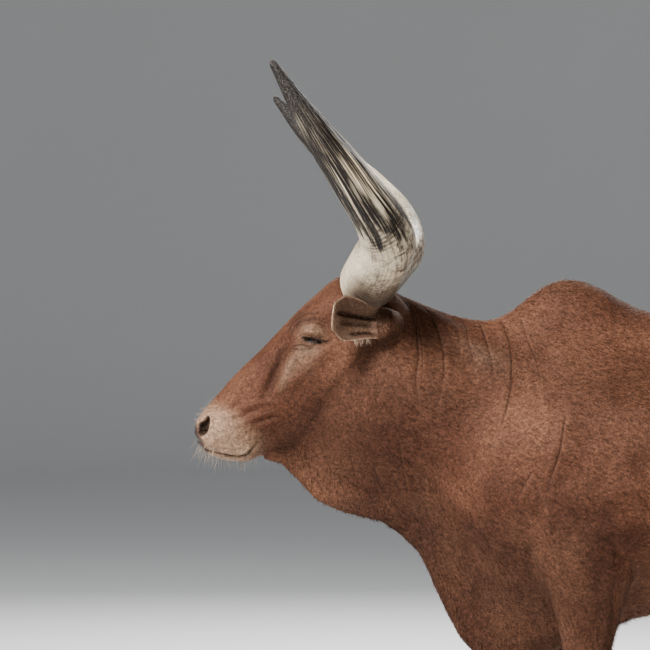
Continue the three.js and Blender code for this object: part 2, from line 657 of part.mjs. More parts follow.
function buildBull() {
  const lids = [-1, 1].map(makeLids);
  let rest = join([
    makeTrunk(), makeHeadLoft(), makeBoss(), makeTail(), ...lids, ...LEGS.map(makeLeg), ...makeUnderside(),
  ]);
  rest = largest(rest);

  const flesh = new Map();
  for (const { name, outline, from, to } of REGIONS) {
    flesh.set(name, largest(rest.intersect(prism(outline, from, to))));
    rest = rest.subtract(prism(outline, from, to, GAP));
  }
  flesh.set("torso", largest(rest));

  const carve = (host, cutter) => flesh.set(host, flesh.get(host).subtract(cutter));
  carve("head", mouthSlit());
  for (const [word, side, line] of [["left", -1, HORN_LEFT], ["right", 1, HORN_RIGHT]]) {
    const hornSeat = makeHorn(line, GAP);
    const earSeat = makeEar(side, GAP);
    for (const host of ["head", "neck"]) {
      carve(host, hornSeat);
      carve(host, earSeat);
    }
    for (const cutter of [nostril(side), lidOpening(side), makeEye(side, GAP)]) carve("head", cutter);
    addPart(`horn_${word}`, makeHorn(line), HORN);
    addPart(`ear_${word}`, makeEar(side).subtract(hornSeat), HIDE);
    addPart(`eye_${word}`, makeEye(side), EYEBALL);
  }
  for (const leg of LEGS) {
    for (const [word, half] of [["inner", -leg.side], ["outer", leg.side]]) {
      carve(leg.name, makeDewclaw(leg, half, GAP));
      addPart(`dewclaw_${leg.name}_${word}`, makeDewclaw(leg, half), HOOF_HORN);
      addPart(`hoof_${leg.name}_${word}`, makeClaw(leg, half), HOOF_HORN);
    }
  }
  for (const [name, made] of flesh) addPart(name, made, HIDE);
  addPart("tail_switch", makeSwitch(), TAIL_HAIR);
}

buildBull();
const box = new THREE.Box3().setFromObject(bull);
bull.position.set(-(box.min.x + box.max.x) / 2, -(box.min.y + box.max.y) / 2, -box.min.z);

export default bull;
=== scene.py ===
# The looks of a life-size Ankole-Watusi bull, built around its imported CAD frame.
# Sizes are millimetres in the bull's side frame (x backwards, y to its right, z up) and head frame
# (s along the face from the poll to the muzzle, h up from the face line) until a mesh is written.
import math

import bmesh
import bpy
import numpy as np
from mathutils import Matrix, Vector


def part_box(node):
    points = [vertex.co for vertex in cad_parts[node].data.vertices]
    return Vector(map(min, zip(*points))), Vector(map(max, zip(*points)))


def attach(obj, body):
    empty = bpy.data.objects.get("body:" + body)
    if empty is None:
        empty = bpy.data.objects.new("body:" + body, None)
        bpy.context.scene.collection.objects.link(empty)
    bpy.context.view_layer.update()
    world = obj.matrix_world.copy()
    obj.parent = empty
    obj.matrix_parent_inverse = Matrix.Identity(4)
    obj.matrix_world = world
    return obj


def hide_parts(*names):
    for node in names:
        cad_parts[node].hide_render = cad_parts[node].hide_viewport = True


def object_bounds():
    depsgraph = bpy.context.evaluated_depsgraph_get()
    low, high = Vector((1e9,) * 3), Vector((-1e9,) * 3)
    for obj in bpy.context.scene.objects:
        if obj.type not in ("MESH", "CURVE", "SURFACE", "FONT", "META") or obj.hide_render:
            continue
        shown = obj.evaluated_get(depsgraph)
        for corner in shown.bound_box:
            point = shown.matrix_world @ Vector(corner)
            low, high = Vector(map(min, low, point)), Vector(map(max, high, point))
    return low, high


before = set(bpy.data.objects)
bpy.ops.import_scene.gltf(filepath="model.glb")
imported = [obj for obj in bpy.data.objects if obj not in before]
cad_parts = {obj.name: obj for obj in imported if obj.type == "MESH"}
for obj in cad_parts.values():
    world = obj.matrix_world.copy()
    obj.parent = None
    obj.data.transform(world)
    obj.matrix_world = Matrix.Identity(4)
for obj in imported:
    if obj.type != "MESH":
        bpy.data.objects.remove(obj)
CAD_LOW, CAD_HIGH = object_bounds()

# The side frame's x = 0 lies this far behind the foremost point of the muzzle.
MUZZLE_TO_ZERO = 325
ZERO_X = CAD_LOW.x * 1000 + MUZZLE_TO_ZERO
BODY = "root"
LEGS = ("foreleg_left", "foreleg_right", "hindleg_left", "hindleg_right")
FLESH = ("head", "neck", "hump", "torso", *LEGS, "tail")

# Driving sizes, the same as in the solids
HEAD_PITCH = math.radians(44)
POLL = (25, 1445)
EYE = {"s": 140, "h": -62, "y": 86, "radius": 21}
CORONET = 72
TAIL_BONE_END = 660
SWITCH_TIP = 330

# The photograph: pixels for each metre at the middle plane, and the camera that sees it so
PHOTO_SCALE = 400
PHOTO_CENTRE = 325
CAMERA_DISTANCE = 7.5
CAMERA_HEIGHT = 1.34
SENSOR = 36

# How far beside the middle plane lie the surfaces on which lines of the photograph are read
NECK_SIDE = -150
FACE_SIDE = -85
NOSTRIL_SIDE = -60
LIP_SIDE = -48

VOXEL = 7.5
COAT_DEPTH = 3.0
TAIL_X = 2024
TUFT_PATCH = 0.003


# Numbers

def ease(low, high, x):
    """0 below low, 1 above high, and a smooth step between them."""
    t = np.clip((np.asarray(x, float) - low) / (high - low), 0, 1)
    return t * t * (3 - 2 * t)


def bell(x):
    return np.exp(-(x**2))


def along(values, t):
    """A smooth curve through evenly spaced values, at t from 0 to 1."""
    values = np.asarray(values, float)
    last = len(values) - 1
    t = np.clip(np.asarray(t, float), 0, 1) * last
    i = np.minimum(t.astype(int), last - 1)
    f = t - i
    if values.ndim > 1:
        f = f[..., None]
    a, b, c, d = (values[np.clip(i + k, 0, last)] for k in (-1, 0, 1, 2))
    return b + 0.5 * f * (c - a + f * (2 * a - 5 * b + 4 * c - d + f * (3 * (b - c) + d - a)))


def unit(v):
    return v / np.maximum(np.linalg.norm(v, axis=-1, keepdims=True), 1e-9)


def arched(t, edge=0.08):
    """An arch over t from 0 to 1 that starts and ends a little above 0."""
    return np.sin(math.pi * np.clip(edge + (1 - 2 * edge) * t, 0, 1))


def blob(parts, at, reach):
    """A bell round the place at, as wide as reach along each axis."""
    return np.exp(-sum(((c - a) / r) ** 2 for c, a, r in zip(parts, at, reach)))


def noise(points, size, seed=0):
    """Smooth noise from -1 to 1 at points, whose lumps are about size across in each axis."""
    p = np.asarray(points, float) / size + 37.0 * (seed + 1)
    cell = np.floor(p).astype(np.int64)
    f = p - cell
    f = f * f * (3 - 2 * f)
    total = np.zeros(len(p))
    for corner in range(8):
        step = np.array([corner & 1, corner >> 1 & 1, corner >> 2 & 1])
        c = cell + step
        h = c[:, 0] * 73856093 ^ c[:, 1] * 19349663 ^ c[:, 2] * 83492791 ^ (seed * 2654435761)
        h = (h ^ (h >> 13)) * 1274126177
        h = (h ^ (h >> 16)) & 0xFFFF
        weight = np.prod(np.where(step, f, 1 - f), axis=1)
        total += weight * (h / 32767.5 - 1)
    return total


# Frames

def to_world(p):
    p = np.asarray(p, float)
    return np.stack([p[..., 0] + ZERO_X, p[..., 1], p[..., 2]], -1) / 1000


def to_side(p):
    p = np.asarray(p, float) * 1000
    return np.stack([p[..., 0] - ZERO_X, p[..., 1], p[..., 2]], -1)


COS, SIN = math.cos(HEAD_PITCH), math.sin(HEAD_PITCH)


def head_point(s, h, y=0.0):
    return np.stack(np.broadcast_arrays(POLL[0] - s * COS - h * SIN, y, POLL[1] - s * SIN + h * COS), -1)


def in_head(p):
    dx, dz = p[..., 0] - POLL[0], p[..., 2] - POLL[1]
    return -dx * COS - dz * SIN, -dx * SIN + dz * COS


def in_face(p):
    """Places of points in the head frame, and their distance from the middle plane."""
    return (*in_head(p), np.abs(p[:, 1]))


def from_photo(pixels, y):
    """Side-frame (x, z) of a row of pixels of the photograph, for a surface at the distance y."""
    scale = PHOTO_SCALE * CAMERA_DISTANCE / (CAMERA_DISTANCE + y / 1000) / 1000
    pixels = np.asarray(pixels, float)
    x = (pixels[:, 0] - PHOTO_CENTRE) / scale
    z = CAMERA_HEIGHT * 1000 - (pixels[:, 1] - PHOTO_CENTRE) / scale
    return np.stack([x, z], 1)


def line_distance(points, line):
    """Distance of 2-D points from a polyline, and how far along it they are, from 0 to 1."""
    best = np.full(len(points), 1e9)
    place = np.zeros(len(points))
    lengths = np.linalg.norm(np.diff(line, axis=0), axis=1)
    starts = np.concatenate([[0], np.cumsum(lengths)])
    for a, b, length, start in zip(line[:-1], line[1:], lengths, starts):
        t = np.clip((points - a) @ (b - a) / length**2, 0, 1)
        d = np.linalg.norm(points - (a + t[:, None] * (b - a)), axis=1)
        nearer = d < best
        best[nearer] = d[nearer]
        place[nearer] = (start + t[nearer] * length) / starts[-1]
    return best, place


# Meshes

def linked(name, data):
    """A new object in the scene with this data."""
    made = bpy.data.objects.new(name, data)
    bpy.context.scene.collection.objects.link(made)
    return made


def mesh_object(name, points, *faces):
    """A smooth mesh from side-frame points and arrays of faces, one for each number of corners."""
    mesh = bpy.data.meshes.new(name)
    corners = np.concatenate([np.ravel(f) for f in faces]).astype(np.int32)
    sizes = np.concatenate([np.full(len(f), f.shape[1]) for f in faces])
    mesh.vertices.add(len(points))
    mesh.loops.add(len(corners))
    mesh.polygons.add(len(sizes))
    mesh.vertices.foreach_set("co", to_world(points).astype(np.float32).ravel())
    mesh.loops.foreach_set("vertex_index", corners)
    mesh.polygons.foreach_set("loop_start", (np.cumsum(sizes) - sizes).astype(np.int32))
    mesh.update(calc_edges=True)
    mesh.shade_smooth()
    return linked(name, mesh)


def tube_faces(rows, around):
    """Squares between rings of points, and fans from two more points that close the end rings."""
    k = np.arange(around)
    after = (k + 1) % around
    i = np.arange(rows - 1)[:, None] * around
    squares = np.stack([i + k, i + after, i + around + after, i + around + k], -1).reshape(-1, 4)
    last = (rows - 1) * around
    first_fan = np.stack([0 * k + rows * around, after, k], -1)
    last_fan = np.stack([0 * k + rows * around + 1, last + k, last + after], -1)
    return squares, np.concatenate([first_fan, last_fan])


def closed_tube(name, rings, ends, mirrored):
    """A tube of triangles through rings of points, closed by a point at each end."""
    squares, fans = tube_faces(*rings.shape[:2])
    tris = np.concatenate([squares[:, :3], squares[:, [0, 2, 3]], fans])
    return mesh_object(name, np.vstack([rings.reshape(-1, 3), *ends]), tris[:, ::-1] if mirrored else tris)


def settle(piece, slot, material, *nodes):
    """Gives a piece its material, its body and the nodes that it replaces; slot is not used."""
    piece.data.materials.append(material)
    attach(piece, BODY)
    if nodes:
        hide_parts(*nodes)


def read(items, name, kind, width):
    values = np.empty(len(items) * width, kind)
    items.foreach_get(name, values)
    return values.reshape(-1, width)


def points_of(mesh):
    return to_side(read(mesh.vertices, "co", np.float32, 3))


def normals_of(mesh):
    return read(mesh.vertex_normals, "vector", np.float32, 3).astype(float)


def edges_of(mesh):
    return read(mesh.edges, "vertices", np.int32, 2)


def move_points(mesh, points):
    mesh.vertices.foreach_set("co", to_world(points).astype(np.float32).ravel())
    mesh.update()


def attribute(mesh, name, values):
    made = mesh.attributes.new(name, "FLOAT", "POINT")
    made.data.foreach_set("value", np.asarray(values, np.float32))


def mark(mesh, *masks):
    """Writes the masks that the coat's material reads."""
    # deep is painted shade in the creases, the nostrils, the mouth's slit and the ear's furrows
    for name, values in zip(("pale", "bare", "dark", "deep"), masks):
        attribute(mesh, name, values)


def relax(points, edges, weight, rounds):
    """Smooths by steps towards the neighbours' mean, each with a step back that keeps the size."""
    a, b = edges.T
    count = len(points)
    degree = np.maximum(np.bincount(a, minlength=count) + np.bincount(b, minlength=count), 1)
    for _ in range(rounds):
        for step in (0.5, -0.52):
            sums = [np.bincount(a, q[b], count) + np.bincount(b, q[a], count) for q in points.T]
            mean = np.stack(sums, 1) / degree[:, None]
            points = points + (weight * step)[:, None] * (mean - points)
    return points


def sphere_points(centre, radii, detail=24, pitch=0.0):
    mesh = bmesh.new()
    bmesh.ops.create_uvsphere(mesh, u_segments=detail, v_segments=detail // 2, radius=1)
    p = np.array([v.co for v in mesh.verts]) * radii
    faces = [[v.index for v in f.verts] for f in mesh.faces]
    mesh.free()
    c, s = math.cos(pitch), math.sin(pitch)
    p = np.stack([p[:, 0] * c + p[:, 2] * s, p[:, 1], -p[:, 0] * s + p[:, 2] * c], 1)
    return p + centre, faces


# The skin

EYE_POINT = {side: head_point(EYE["s"], EYE["h"], side * EYE["y"]) for side in (-1, 1)}
BOSS_LINE = ((101, -98, 1441), (84, -50, 1426), (76, 0, 1416), (84, 50, 1426), (101, 98, 1441))
EAR_ROOT = (172, 84, 1339)

# From the low corner of a dewclaw's box to the widest place of its axis, along x and z
DEWCLAW_SEAT = (14.6, 25.6)


def dewclaw_base(leg, word):
    """The widest place of a dewclaw's axis, from the box of its solid."""
    low, high = (to_side(np.array(v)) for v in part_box(f"dewclaw_{leg}_{word}"))
    return np.array([low[0] + DEWCLAW_SEAT[0], (low[1] + high[1]) / 2, low[2] + DEWCLAW_SEAT[1]])


def fill_seats():
    """Plugs for the seats that eyes, horns, ears and nostrils have in the solids."""
    plugs = []
    for side in (-1, 1):
        plugs.append((EYE_POINT[side], (22, 22, 22), 0))
        plugs.append((head_point(480, -27, side * 46), (27, 22, 14), -0.96))
        plugs.append((np.array([EAR_ROOT[0] - 6, side * (EAR_ROOT[1] + 4), EAR_ROOT[2]]), (30, 26, 30), 0))
        plugs.append((head_point(470, -108, side * 30), (60, 34, 6), 0.64))
    for leg in LEGS:
        for word in ("inner", "outer"):
            plugs.append((dewclaw_base(leg, word) + (-11, 0, 9), (19, 14, 19), 0))
    for point in along(BOSS_LINE, np.linspace(0, 1, 9)):
        plugs.append((point, (57, 40, 57), 0))
    return plugs


def base_skin():
    """The flesh solids and the plugs as one closed surface of even squares."""
    made = bmesh.new()
    for name in FLESH:
        made.from_mesh(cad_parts[name].data)
    for centre, radii, pitch in fill_seats():
        p, faces = sphere_points(centre, radii, pitch=pitch)
        corners = [made.verts.new(v) for v in to_world(p)]
        for face in faces:
            made.faces.new([corners[i] for i in face])
    mesh = bpy.data.meshes.new("skin")
    made.to_mesh(mesh)
    made.free()
    skin = linked("skin", mesh)
    remesh = skin.modifiers.new("even", "REMESH")
    remesh.mode = "VOXEL"
    remesh.voxel_size = VOXEL / 1000
    evaluated = skin.evaluated_get(bpy.context.evaluated_depsgraph_get())
    skin.data = bpy.data.meshes.new_from_object(evaluated)
    skin.modifiers.clear()
    return skin


# Creases and ridges that the photograph shows, as rows of its pixels
NECK_CREASES = (
    (((398, 296), (406, 301), (412.6, 311), (417.5, 328), (419.5, 356), (416, 380), (418.5, 402),
      (419, 420)), 1.5),
    (((401, 293), (409, 301), (417, 316), (422.5, 338), (423.5, 360), (421, 384)), 1.0),
    (((421, 303), (431.6, 315), (440, 333), (445, 353), (445, 373), (441, 394), (437, 418)), 1.3),
    (((452, 311), (458, 326), (461, 346), (460, 372)), 0.7),
    (((464, 314), (467.5, 328), (470, 345), (475, 363), (476, 384)), 1.1),
    (((479, 313), (484, 328), (489, 345), (493, 364), (494, 386), (491, 404)), 1.4),
    (((500, 312), (505.5, 324), (510, 340), (512, 360), (510, 388), (504, 412), (496, 435), (491, 456)), 1.9),
    (((523, 318), (528, 338), (536, 358), (540, 380), (539, 398)), 1.2),
    (((545, 340), (550, 362), (549, 390)), 0.7),
    (((564, 412), (560, 434), (556.6, 451), (548.5, 475), (543, 500)), 1.7),
    (((530, 470), (520, 488), (509, 508)), 1.0),
    (((373, 462), (379, 484), (388, 506)), 1.2),
    (((350, 455), (355, 478), (364, 500)), 1.1),
    (((324, 456), (331, 474), (343, 492)), 1.0),
    (((399, 440), (402, 466), (408, 494), (418, 520)), 1.1),
)
# pixels, half width and height in millimetres
FACE_LINES = (
    (((287, 333), (291.5, 323), (299, 316.5), (308, 312.5), (325, 312.5)), 2.0, -2.8),
    (((286.5, 327), (292.5, 318), (300.5, 313), (310, 309.5)), 1.8, -2.2),
    (((289, 336), (294, 326), (301, 319.5), (309, 316)), 1.8, -1.5),
    (((293, 332), (297, 327), (302, 322.5), (311, 319.5), (320, 321.5), (327, 327)), 6.0, -6.0),
    (((301, 331.5), (307, 328), (314, 328.5), (321, 332), (326, 336)), 9.0, 5.0),
    (((292, 346), (299, 345.5), (307, 346.6), (315, 347)), 1.6, -1.6),
    (((290, 348.5), (299, 350), (309, 350.5), (318, 349)), 2.0, -1.2),
    (((323, 341), (328, 341.5), (333, 339)), 3.6, -4.5),
    (((289, 340), (283, 352), (277, 366), (271, 382), (264, 398)), 10, -10.0),
    (((300, 351), (292, 362), (286, 376), (279, 392)), 10, 8.5),
    (((286, 352.5), (290, 352)), 2.5, -2.0),
    (((241, 408), (253, 404), (266, 402), (278, 404)), 6.5, 2.6),
    (((233, 419), (242, 416.5), (250, 412), (256, 410)), 5.0, -5.0),
    (((235, 426), (250, 420.5), (260, 416), (273, 412)), 5.2, 2.4),
    (((254, 423.5), (262, 421), (270, 418.5), (278, 417.5)), 4.8, -4.6),
    (((236, 434), (252, 428), (268, 425)), 7.0, 1.8),
    (((213, 434.5), (222, 433)), 5.0, -2.2),
    (((222, 404), (236, 388), (252, 368), (266, 352)), 6.0, 1.2),
    (((228, 414), (240, 399), (252, 384), (264, 368)), 9.0, -1.6),
    (((296, 396), (306, 380), (316, 366)), 12.0, -2.4),
    (((205, 444), (218, 447), (234, 448.5), (250, 445)), 4.5, 1.6),
)
MOUTH_LINE = (
    (198, 446), (204, 449.2), (212, 451.3), (222, 453.6), (232, 455.6), (240, 456.3), (247, 454),
    (252, 449), (255.5, 443),
)
NOSTRIL_OUTLINE = (
    (207.9, 414.6), (210.0, 418.2), (210.3, 423), (209.3, 428.4), (207.2, 433.2), (204, 436.5),
    (200.4, 437), (197.2, 434),
    (195.9, 429.6), (196.5, 425.0), (200.0, 421.8), (203.6, 420.2), (205.4, 417.2),
)

# Muscles and bones under the skin: place (x, |y|, z), reach and height
BODY_FORMS = (
    ((600, 250, 1150), (60, 200, 190), 7),
    ((520, 190, 880), (70, 120, 80), 10),
    ((455, 150, 1040), (40, 120, 190), -5),
    ((700, 270, 930), (80, 150, 90), 8),
    ((640, 230, 800), (70, 120, 70), 6),
    ((1555, 235, 1310), (46, 90, 42), 12),
    ((1900, 110, 1225), (34, 60, 40), 12),
    ((1480, 310, 1230), (70, 120, 70), -10),
    ((1395, 310, 900), (60, 130, 170), 5),
    ((1700, 240, 1120), (90, 130, 100), 7),
    ((1800, 220, 960), (60, 130, 130), 6),
    ((1610, 240, 850), (60, 120, 90), 8),
    ((800, 290, 1150), (46, 150, 160), -6),
    ((1100, 320, 1260), (260, 110, 36), 5),
    ((1250, 60, 1370), (430, 34, 34), 5),
    ((1080, 330, 855), (440, 70, 36), -6),
    ((1080, 262, 752), (440, 80, 52), 11),
    ((272, 150, 1200), (34, 100, 64), -5),
    ((120, 120, 1130), (46, 60, 90), 4),
    ((640, 60, 1440), (90, 60, 60), 6),
)
BODY_FOLDS = (
    (((200, 1400), (257, 1369), (318, 1323), (375, 1284), (430, 1245)), 24, 8.5),
    (((237, 1393), (282, 1374), (336, 1349), (399, 1338)), 10, -4.0),
    (((300, 1290), (345, 1240), (390, 1180)), 26, -4.0),
    (((1510, 1120), (1440, 980), (1400, 860), (1390, 760)), 14, -4.0),
    (((1530, 1090), (1470, 960), (1440, 850)), 16, 5.0),
    (((700, 1120), (770, 1010), (790, 900), (770, 780)), 26, -6.0),
    (((1840, 1180), (1800, 1050), (1790, 920), (1820, 780)), 20, -5.0),
    (((1640, 1210), (1650, 1060), (1620, 930)), 24, -4.0),
    (((560, 1330), (600, 1220), (600, 1100), (560, 960)), 26, 5.0),
    (((120, 1170), (180, 1060), (240, 960), (300, 860)), 20, -4.0),
    (((100, 1010), (160, 930), (210, 880)), 12, 3.5),
    (((20, 1000), (80, 930), (130, 890)), 10, -3.0),
    (((260, 900), (310, 800), (340, 700)), 12, -3.5),
    (((330, 880), (370, 760), (400, 640)), 14, -3.5),
)
# Bones and flesh of the head: place (s, h, |y|), reach and height
FACE_FORMS = (
    ((300, 6, 0), (150, 22, 26), 2.5),  # bridge of the nose
    ((60, 4, 0), (60, 30, 40), 3),  # forehead
    ((122, -40, 100), (26, 13, 34), 5.0),  # roll of the upper lid and brow
    ((110, -90, 100), (24, 18, 40), -7),  # hollow behind the eye
    ((62, -46, 95), (36, 22, 40), -4),
    ((184, -84, 96), (34, 20, 40), 4.5),  # cheekbone
    ((120, -170, 92), (70, 60, 40), 2),  # chewing muscle
    ((215, -200, 80), (14, 50, 40), -3),  # front edge of that muscle
    ((505, -54, 0), (20, 24, 8), -3),  # groove between the nostrils
    ((490, -8, 0), (24, 12, 14), -2),
    ((520, -84, 20), (12, 9, 30), 2),  # upper lip
)
# The lines of FACE_LINES that also tint the hair round the eye: painted shade in their hollows and painted
# highlight on their rolls
SHADED_LINES = slice(3, 10)
# The opening of the lids: its slope, and half its length as an angle seen from the ball's centre
LID_SLOPE = math.radians(9)
LID_REACH = 1.12


def mouth_line():
    """The line of the mouth in the head frame."""
    flat = from_photo(MOUTH_LINE, LIP_SIDE)
    return np.stack(in_head(np.stack([flat[:, 0], 0 * flat[:, 0], flat[:, 1]], 1)), 1)


def mouth_distance(p):
    """Distance of points from the line of the mouth in the side view, and how far along it they are."""
    return line_distance(np.stack(in_head(p), 1), mouth_line())


def nostril_distance(p):
    """Distance of points from the nostril's outline in the side view, negative inside it."""
    outline = from_photo(NOSTRIL_OUTLINE, NOSTRIL_SIDE)
    closed = np.vstack([outline, outline[:1]])
    x, z = p[:, 0], p[:, 2]
    d, _ = line_distance(p[:, [0, 2]], closed)
    inside = np.zeros(len(p), bool)
    for a, b in zip(closed[:-1], closed[1:]):
        crossing = a[0] + (z - a[1]) * (b[0] - a[0]) / (b[1] - a[1] + 1e-9)
        inside ^= ((a[1] > z) != (b[1] > z)) & (x < crossing)
    return np.where(inside, -d, d)


def from_eye(p, flat=1.0):
    """Distance of points from the eye on their side, with its sideways part scaled by flat."""
    s, h, y = in_face(p)
    return np.linalg.norm(np.stack([s - EYE["s"], h - EYE["h"], (y - EYE["y"]) * flat], 1), axis=1)


def close_to(flat, line, reach):
    """Which places of the side view lie in the box round a line, made wider by reach."""
    return np.all((flat > line.min(0) - reach) & (flat < line.max(0) + reach), axis=1)


def fine_lines():
    """The finest creases, as side-view lines with their depths: on the neck and round the eyes."""
    for pixels, depth in NECK_CREASES:
        yield from_photo(pixels, NECK_SIDE), depth
    for pixels, width, height in FACE_LINES:
        if width < 2.2:
            yield from_photo(pixels, FACE_SIDE), -height


def line_fade(t):
    return ease(-0.02, 0.1, t) * ease(1.0, 0.55, t)


def near_lines(p):
    """Distance of places in the side view from the nearest fine crease, and the painted shade of the crease's
    bottom there.
    """
    flat = p[:, [0, 2]]
    nearest = np.full(len(flat), 1e9)
    shade = np.zeros(len(flat))
    for line, depth in fine_lines():
        close = close_to(flat, line, 30)
        if close.any():
            d, t = line_distance(flat[close], line)
            nearest[close] = np.minimum(nearest[close], d)
            here = bell(d / 1.9) * line_fade(t) * min(depth / 1.6, 1)
            shade[close] = np.maximum(shade[close], here * ease(14, 40, np.abs(p[close, 1])))
    return nearest, shade


def refine(skin):
    """Splits the squares of the head, and again round eyes, nostrils, mouth and fine creases."""
    made = bmesh.new()
    made.from_mesh(skin.data)
    for finer in (False, True):
        made.verts.ensure_lookup_table()
        made.edges.ensure_lookup_table()
        p = to_side(np.array([v.co for v in made.verts]))
        s, h, y = in_face(p)
        wanted = (near_lines(p)[0] < (7 if finer else 14)) & (y > 25)
        if finer:
            wanted |= (from_eye(p) < 48) | (mouth_distance(p)[0] < 13) | ((s > 425) & (h > -66) & (y > 20))
        else:
            wanted |= (p[:, 0] < 150) & (s > -60) & (s < 560) & (p[:, 2] > 985) & (h > -260)
        inside = [e for e in made.edges if wanted[e.verts[0].index] and wanted[e.verts[1].index]]
        bmesh.ops.subdivide_edges(made, edges=inside, cuts=1, use_grid_fill=True)
        made.verts.index_update()
    bmesh.ops.triangulate(made, faces=[f for f in made.faces if len(f.verts) > 4])
    made.to_mesh(skin.data)
    made.free()


def shape_head(p, n):
    """How far each point of the skin moves along its normal, for the forms of the head."""
    parts = in_face(p)
    out = np.zeros(len(p))
    near = (p[:, 0] < 160) & (parts[0] > -40)
    sideways = ease(0.2, 0.6, np.abs(n[near, 1])) * ease(20, 45, parts[2][near])
    for pixels, width, height in FACE_LINES:
        d, t = line_distance(p[near][:, [0, 2]], from_photo(pixels, FACE_SIDE))
        out[near] += height * bell(d / width) * np.sqrt(np.clip(arched(t, 0.06), 0, 1)) * sideways
    for at, reach, height in FACE_FORMS:
        out += height * blob(parts, at, reach)
    return out


def carve_nostrils(p, n):
    """How each point moves for the nostrils and their rims, and the painted shade inside them, darker the
    deeper in.
    """
    s, h, y = in_face(p)
    near = (s > 420) & (h > -90) & (y > 22)
    edge = nostril_distance(p[near])
    sign = np.sign(p[near, 1])
    inward = np.stack([0.30 + 0 * sign, -0.95 * sign, 0.05 + 0 * sign], 1)
    rim = 2.6 * bell((edge - 4.5) / 3.6)
    move = np.zeros((len(p), 3))
    move[near] = inward * (26 * ease(0.8, -9, edge))[:, None] + n[near] * rim[:, None]
    painted_nostril_shade = np.zeros(len(p))
    # Painted shade inside the nostril
    painted_nostril_shade[near] = ease(0.5, -5, edge)
    return move, painted_nostril_shade


def carve_mouth(p, n):
    """The slit, the rolled edge of the upper lip over it and the lower lip drawn in beneath, with painted
    shade along the slit.
    """
    s, h, y = in_face(p)
    line = mouth_line()
    d, t = mouth_distance(p)
    reach = ease(1.0, 0.80, t)
    below = h < np.interp(s, line[::-1, 0], line[::-1, 1])
    slit = bell(d / 1.9) * reach
    roll = bell((d - 6) / 4.0) * reach * np.where(below, 0.35, 1.0)
    under = below * ease(16, 5, d) * ease(400, 430, s) * ease(0, 25, y)
    move = n * (roll * 2.4 - slit * 5.5)[:, None]
    move[:, 1] -= np.sign(p[:, 1]) * 5.0 * under
    # 0.8 * slit is painted shade along the slit
    return move, 0.8 * slit


def shape_lids(p):
    """Maps the skin round each eye onto lids that leave a half-closed opening over the ball."""
    lid = np.zeros(len(p))
    ball = EYE["radius"]
    cos, sin = math.cos(LID_SLOPE), math.sin(LID_SLOPE)
    for side in (-1, 1):
        v = p - EYE_POINT[side]
        r = np.linalg.norm(v, axis=1)
        near = (r < 46) & (v[:, 1] * side > 0)
        d = v[near] / r[near][:, None]
        aside = d[:, 1] * side
        back = d[:, 0] * cos - d[:, 2] * sin
        across = np.arctan2(back, aside)
        rise = np.arctan2(d[:, 0] * sin + d[:, 2] * cos, np.hypot(back, aside))
        length = np.clip(across / LID_REACH, -1, 1)
        arch = np.sqrt(np.clip(1 - length**2, 0, 1))
        edge = np.maximum(rise - 0.24 * arch, -0.34 * arch - 0.02 * length - rise)
        edge = np.maximum(edge, (np.abs(across) - LID_REACH - 0.02) * 0.6)
        margin = ball + 2.4 + 1.8 * bell((edge - 0.08) / 0.08)
        plump = ball + 5.5 + 10.5 * ease(-0.1, 0.5, rise)
        target = margin + (plump - margin) * ease(0.05, 0.45, edge)
        target = np.where(edge < 0, ball - 3.5 * ease(0, -0.10, edge), target)
        blend = ease(44, 25, r[near]) * ease(0.0, 0.35, aside)
        blend = np.maximum(blend, ease(0.12, 0.0, edge) * (aside > 0.1))
        fold = -0.9 * bell((rise - 0.34 - 0.08 * length) / 0.05) * arch
        fold -= 1.6 * bell((rise + 0.40) / 0.05) * arch
        radius = r[near] + (target + fold - r[near]) * blend
        p[near] = EYE_POINT[side] + d * radius[:, None]
        lid[near] = np.maximum(lid[near], 0.85 * bell(edge / 0.035) * (blend > 0.5))
    return lid


def shape_body(p, n):
    """How far each point moves along its normal, for muscles, folds, creases, ribs and sinews."""
    x, y, z = p[:, 0], np.abs(p[:, 1]), p[:, 2]
    flat = p[:, [0, 2]]
    out = np.zeros(len(p))
    for at, reach, height in BODY_FORMS:
        out += height * blob((x, y, z), at, reach)
    sideways = ease(0.15, 0.6, np.abs(n[:, 1]))
    for line, width, height in BODY_FOLDS:
        d, t = line_distance(flat, np.array(line, float))
        out += height * bell(d / width) * arched(t) * sideways
    for pixels, depth in NECK_CREASES:
        line = from_photo(pixels, NECK_SIDE)
        close = close_to(flat, line, 40) & (y > 14)
        d, t = line_distance(flat[close], line)
        side_bulge = 0.45 * bell((d - 12) / 7) - 0.35 * bell(d / 7)
        out[close] += depth * line_fade(t) * (side_bulge - 1.1 * bell(d / 2.2)) * ease(14, 40, y[close])
    ribs = ease(850, 960, x) * ease(1420, 1300, x) * ease(760, 860, z) * ease(1290, 1180, z)
    slant = x - 0.25 * (1300 - z)
    out += 1.7 * ribs * np.cos(slant * 2 * math.pi / 66 + 1.2 * noise(p, 150, 6))
    lumps = sum(noise(p, np.array((120, 120, 190)) / 2**k, 4 + k) / 2**k for k in range(3))
    out += ease(120, 260, x) * ease(600, 700, z) * 2.2 * lumps
    return out + 2.0 * ease(620, 480, z) * ease(0.2, 0.8, n[:, 0]) * bell((y - 155) / 12)


